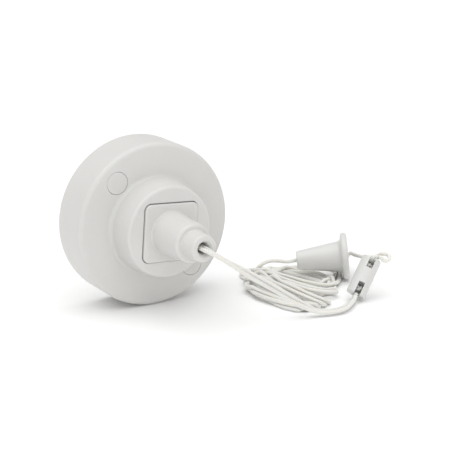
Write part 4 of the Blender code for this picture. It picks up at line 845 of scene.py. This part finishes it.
    (102.81, 3.61, 1.08), (103.47, 6.52, 1.08), (103.17, 9.48, 1.08), (101.63, 12.03, 1.08), (99.55, 14.18, 1.08), (97.23, 16.08, 1.08),
    (94.72, 17.71, 1.08), (92.09, 19.15, 1.08), (89.37, 20.41, 1.08), (86.56, 21.46, 1.08), (83.65, 22.17, 1.08), (80.70, 22.66, 1.08),
    (77.91, 23.74, 1.08), (75.17, 24.79, 1.45), (72.85, 23.59, 2.49), (71.02, 21.25, 2.80), (69.57, 18.65, 2.98), (67.99, 16.22, 2.58),
    (65.16, 15.90, 2.55), (62.46, 16.61, 3.54), (60.68, 15.92, 5.77), (60.90, 13.99, 7.91),
]
loop_route = [
    at(CONNECTOR, 1.2, 0, 19.0),
    at(CONNECTOR, 1.9, 0.35, 21.0),
    at(CONNECTOR, 2.0, 2.5, 21.8),
    (97.30, -37.60, 20.40),
    (98.69, -38.42, 18.78),
    (100.86, -38.81, 19.05),
    (102.60, -37.60, 19.70),
    (102.90, -35.50, 20.35),
    (101.58, -33.74, 20.62),
    (101.0, -29.6, 18.4),
    (100.8, -25.0, 16.6),
    (101.9, -19.5, 15.0),
    (103.8, -13.0, 13.4),
    (106.0, -5.5, 11.7),
    (109.5, 3.4, 9.6),
]
acorn_route = [
    (61.9, 14.6, 8.2),
    (64.6, 14.0, 9.5),
    (67.5, 13.4, 9.95),
    (70.5, 12.6, 9.7),
    (73.5, 11.6, 9.1),
    (76.2, 10.3, 8.9),
    at(ACORN, 0, 0, -ACORN_L - 1.0),
    at(ACORN, 0, 0, -ACORN_L + 3.9),
]
route = loop_route + [tuple(p) for p in HANK[:-1]] + acorn_route
long_cord, line = braided("long_cord", route, CORD_D, twist=7.0, steps=3)
placed(long_cord, "pull_cord", ["cord_to_connector", "cord_hank", "cord_to_acorn"])
knot_cord = knot("cord_knot_tied", CONNECTOR @ Matrix.Translation((0.6 * MM, 0, 15.9 * MM)), "cord_knot", spin=1.1)
knot_acorn = knot("acorn_knot_tied", ACORN @ Matrix.Translation((0, 0, (-ACORN_L + 6.4) * MM)), "acorn_knot", spin=0.4)

# ---------------------------------------------------------------- return spring
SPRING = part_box("return_spring")
turns, spring_r, wire_r = 6.5, 4.9, 0.4
low_w, high_w = [FACE_Y - SPRING[k][1] / MM for k in (1, 0)]
low_w, high_w = low_w + wire_r, high_w - wire_r
coil = []
for k in range(int(turns * 14) + 1):
    f = k / int(turns * 14)
    # Closed end turns, as on a real compression spring.
    ease = 0.5 - 0.5 * math.cos(math.pi * f)
    coil.append((spring_r * math.cos(2 * math.pi * turns * f), spring_r * math.sin(2 * math.pi * turns * f), low_w + (high_w - low_w) * (0.55 * f + 0.45 * ease)))
bm_curve = bpy.data.curves.new("spring_wire", "CURVE")
bm_curve.dimensions = "3D"
bm_curve.bevel_depth = wire_r
bm_curve.bevel_resolution = 3
bm_curve.use_fill_caps = True
wire = bm_curve.splines.new("POLY")
wire.points.add(len(coil) - 1)
for point, place in zip(wire.points, coil):
    point.co = (*place, 1)
wire_object = bpy.data.objects.new("spring_wire", bm_curve)
bpy.context.scene.collection.objects.link(wire_object)
bpy.context.view_layer.update()
spring_mesh = bpy.data.meshes.new_from_object(wire_object.evaluated_get(bpy.context.evaluated_depsgraph_get()))
bpy.data.objects.remove(wire_object)
spring = link("return_spring_coil", spring_mesh, SWITCH @ Matrix.Scale(MM, 4))
spring.data.materials.clear()
spring.data.materials.append(STEEL)
spring.data.shade_smooth()
placed(spring, "switch_body", ["return_spring"])
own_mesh(spring)

# ---------------------------------------------------------------- the CAD's own pieces that stay
slots = {part["node"]: part["material_slot"] for part in frame["record"]["subparts"]}
for name, piece in frame["nodes"].items():
    if piece.hide_render:
        continue
    look = LOOKS[slots[name]]
    if name == "plunger":
        look = NYLON
    if not piece.material_slots:
        piece.data.materials.append(look)
    for slot in piece.material_slots:
        slot.material = look

# ---------------------------------------------------------------- floor, light
floor_material, tree, bsdf = new_material("studio_floor", Roughness=0.85, Specular_IOR_Level=0.15)
place = node(tree, "ShaderNodeTexCoord").outputs["Object"]
tree.links.new(blend(tree, noise(tree, place, 3.0, 2.0), (0.945, 0.945, 0.944), (0.955, 0.955, 0.954)), bsdf.inputs["Base Color"])
bm = bmesh.new()
bmesh.ops.create_grid(bm, x_segments=8, y_segments=8, size=14.0)
mesh = bpy.data.meshes.new("studio_floor")
bm.to_mesh(mesh)
bm.free()
floor = link("studio_floor", mesh)
floor.location = (0, 0, -0.00002)
floor.data.materials.append(floor_material)

world = bpy.data.worlds.new("studio")
bpy.context.scene.world = world
world.use_nodes = True
sky = world.node_tree.nodes["Background"]
sky.inputs["Color"].default_value = (1.0, 1.0, 1.0, 1.0)
sky.inputs["Strength"].default_value = WORLD


def softbox(name, place, target, size, power, colour=(1.0, 1.0, 1.0)):
    light = bpy.data.lights.new(name, "AREA")
    light.shape = "RECTANGLE"
    light.size, light.size_y = size
    light.energy = power
    light.color = colour
    made = bpy.data.objects.new(name, light)
    bpy.context.scene.collection.objects.link(made)
    made.location = place
    direction = Vector(target) - Vector(place)
    made.rotation_mode = "QUATERNION"
    made.rotation_quaternion = direction.to_track_quat("-Z", "Y")
    return made


sun = bpy.data.lights.new("overhead", "SUN")
sun.energy = SUN
sun.angle = math.radians(72)
overhead = bpy.data.objects.new("overhead", sun)
bpy.context.scene.collection.objects.link(overhead)
overhead.rotation_mode = "QUATERNION"
overhead.rotation_quaternion = Vector((0.16, 0.10, -1.0)).to_track_quat("-Z", "Y")
softbox("front", (-0.35, -1.25, 0.28), (0.03, 0.0, 0.03), (1.5, 0.5), FRONT)
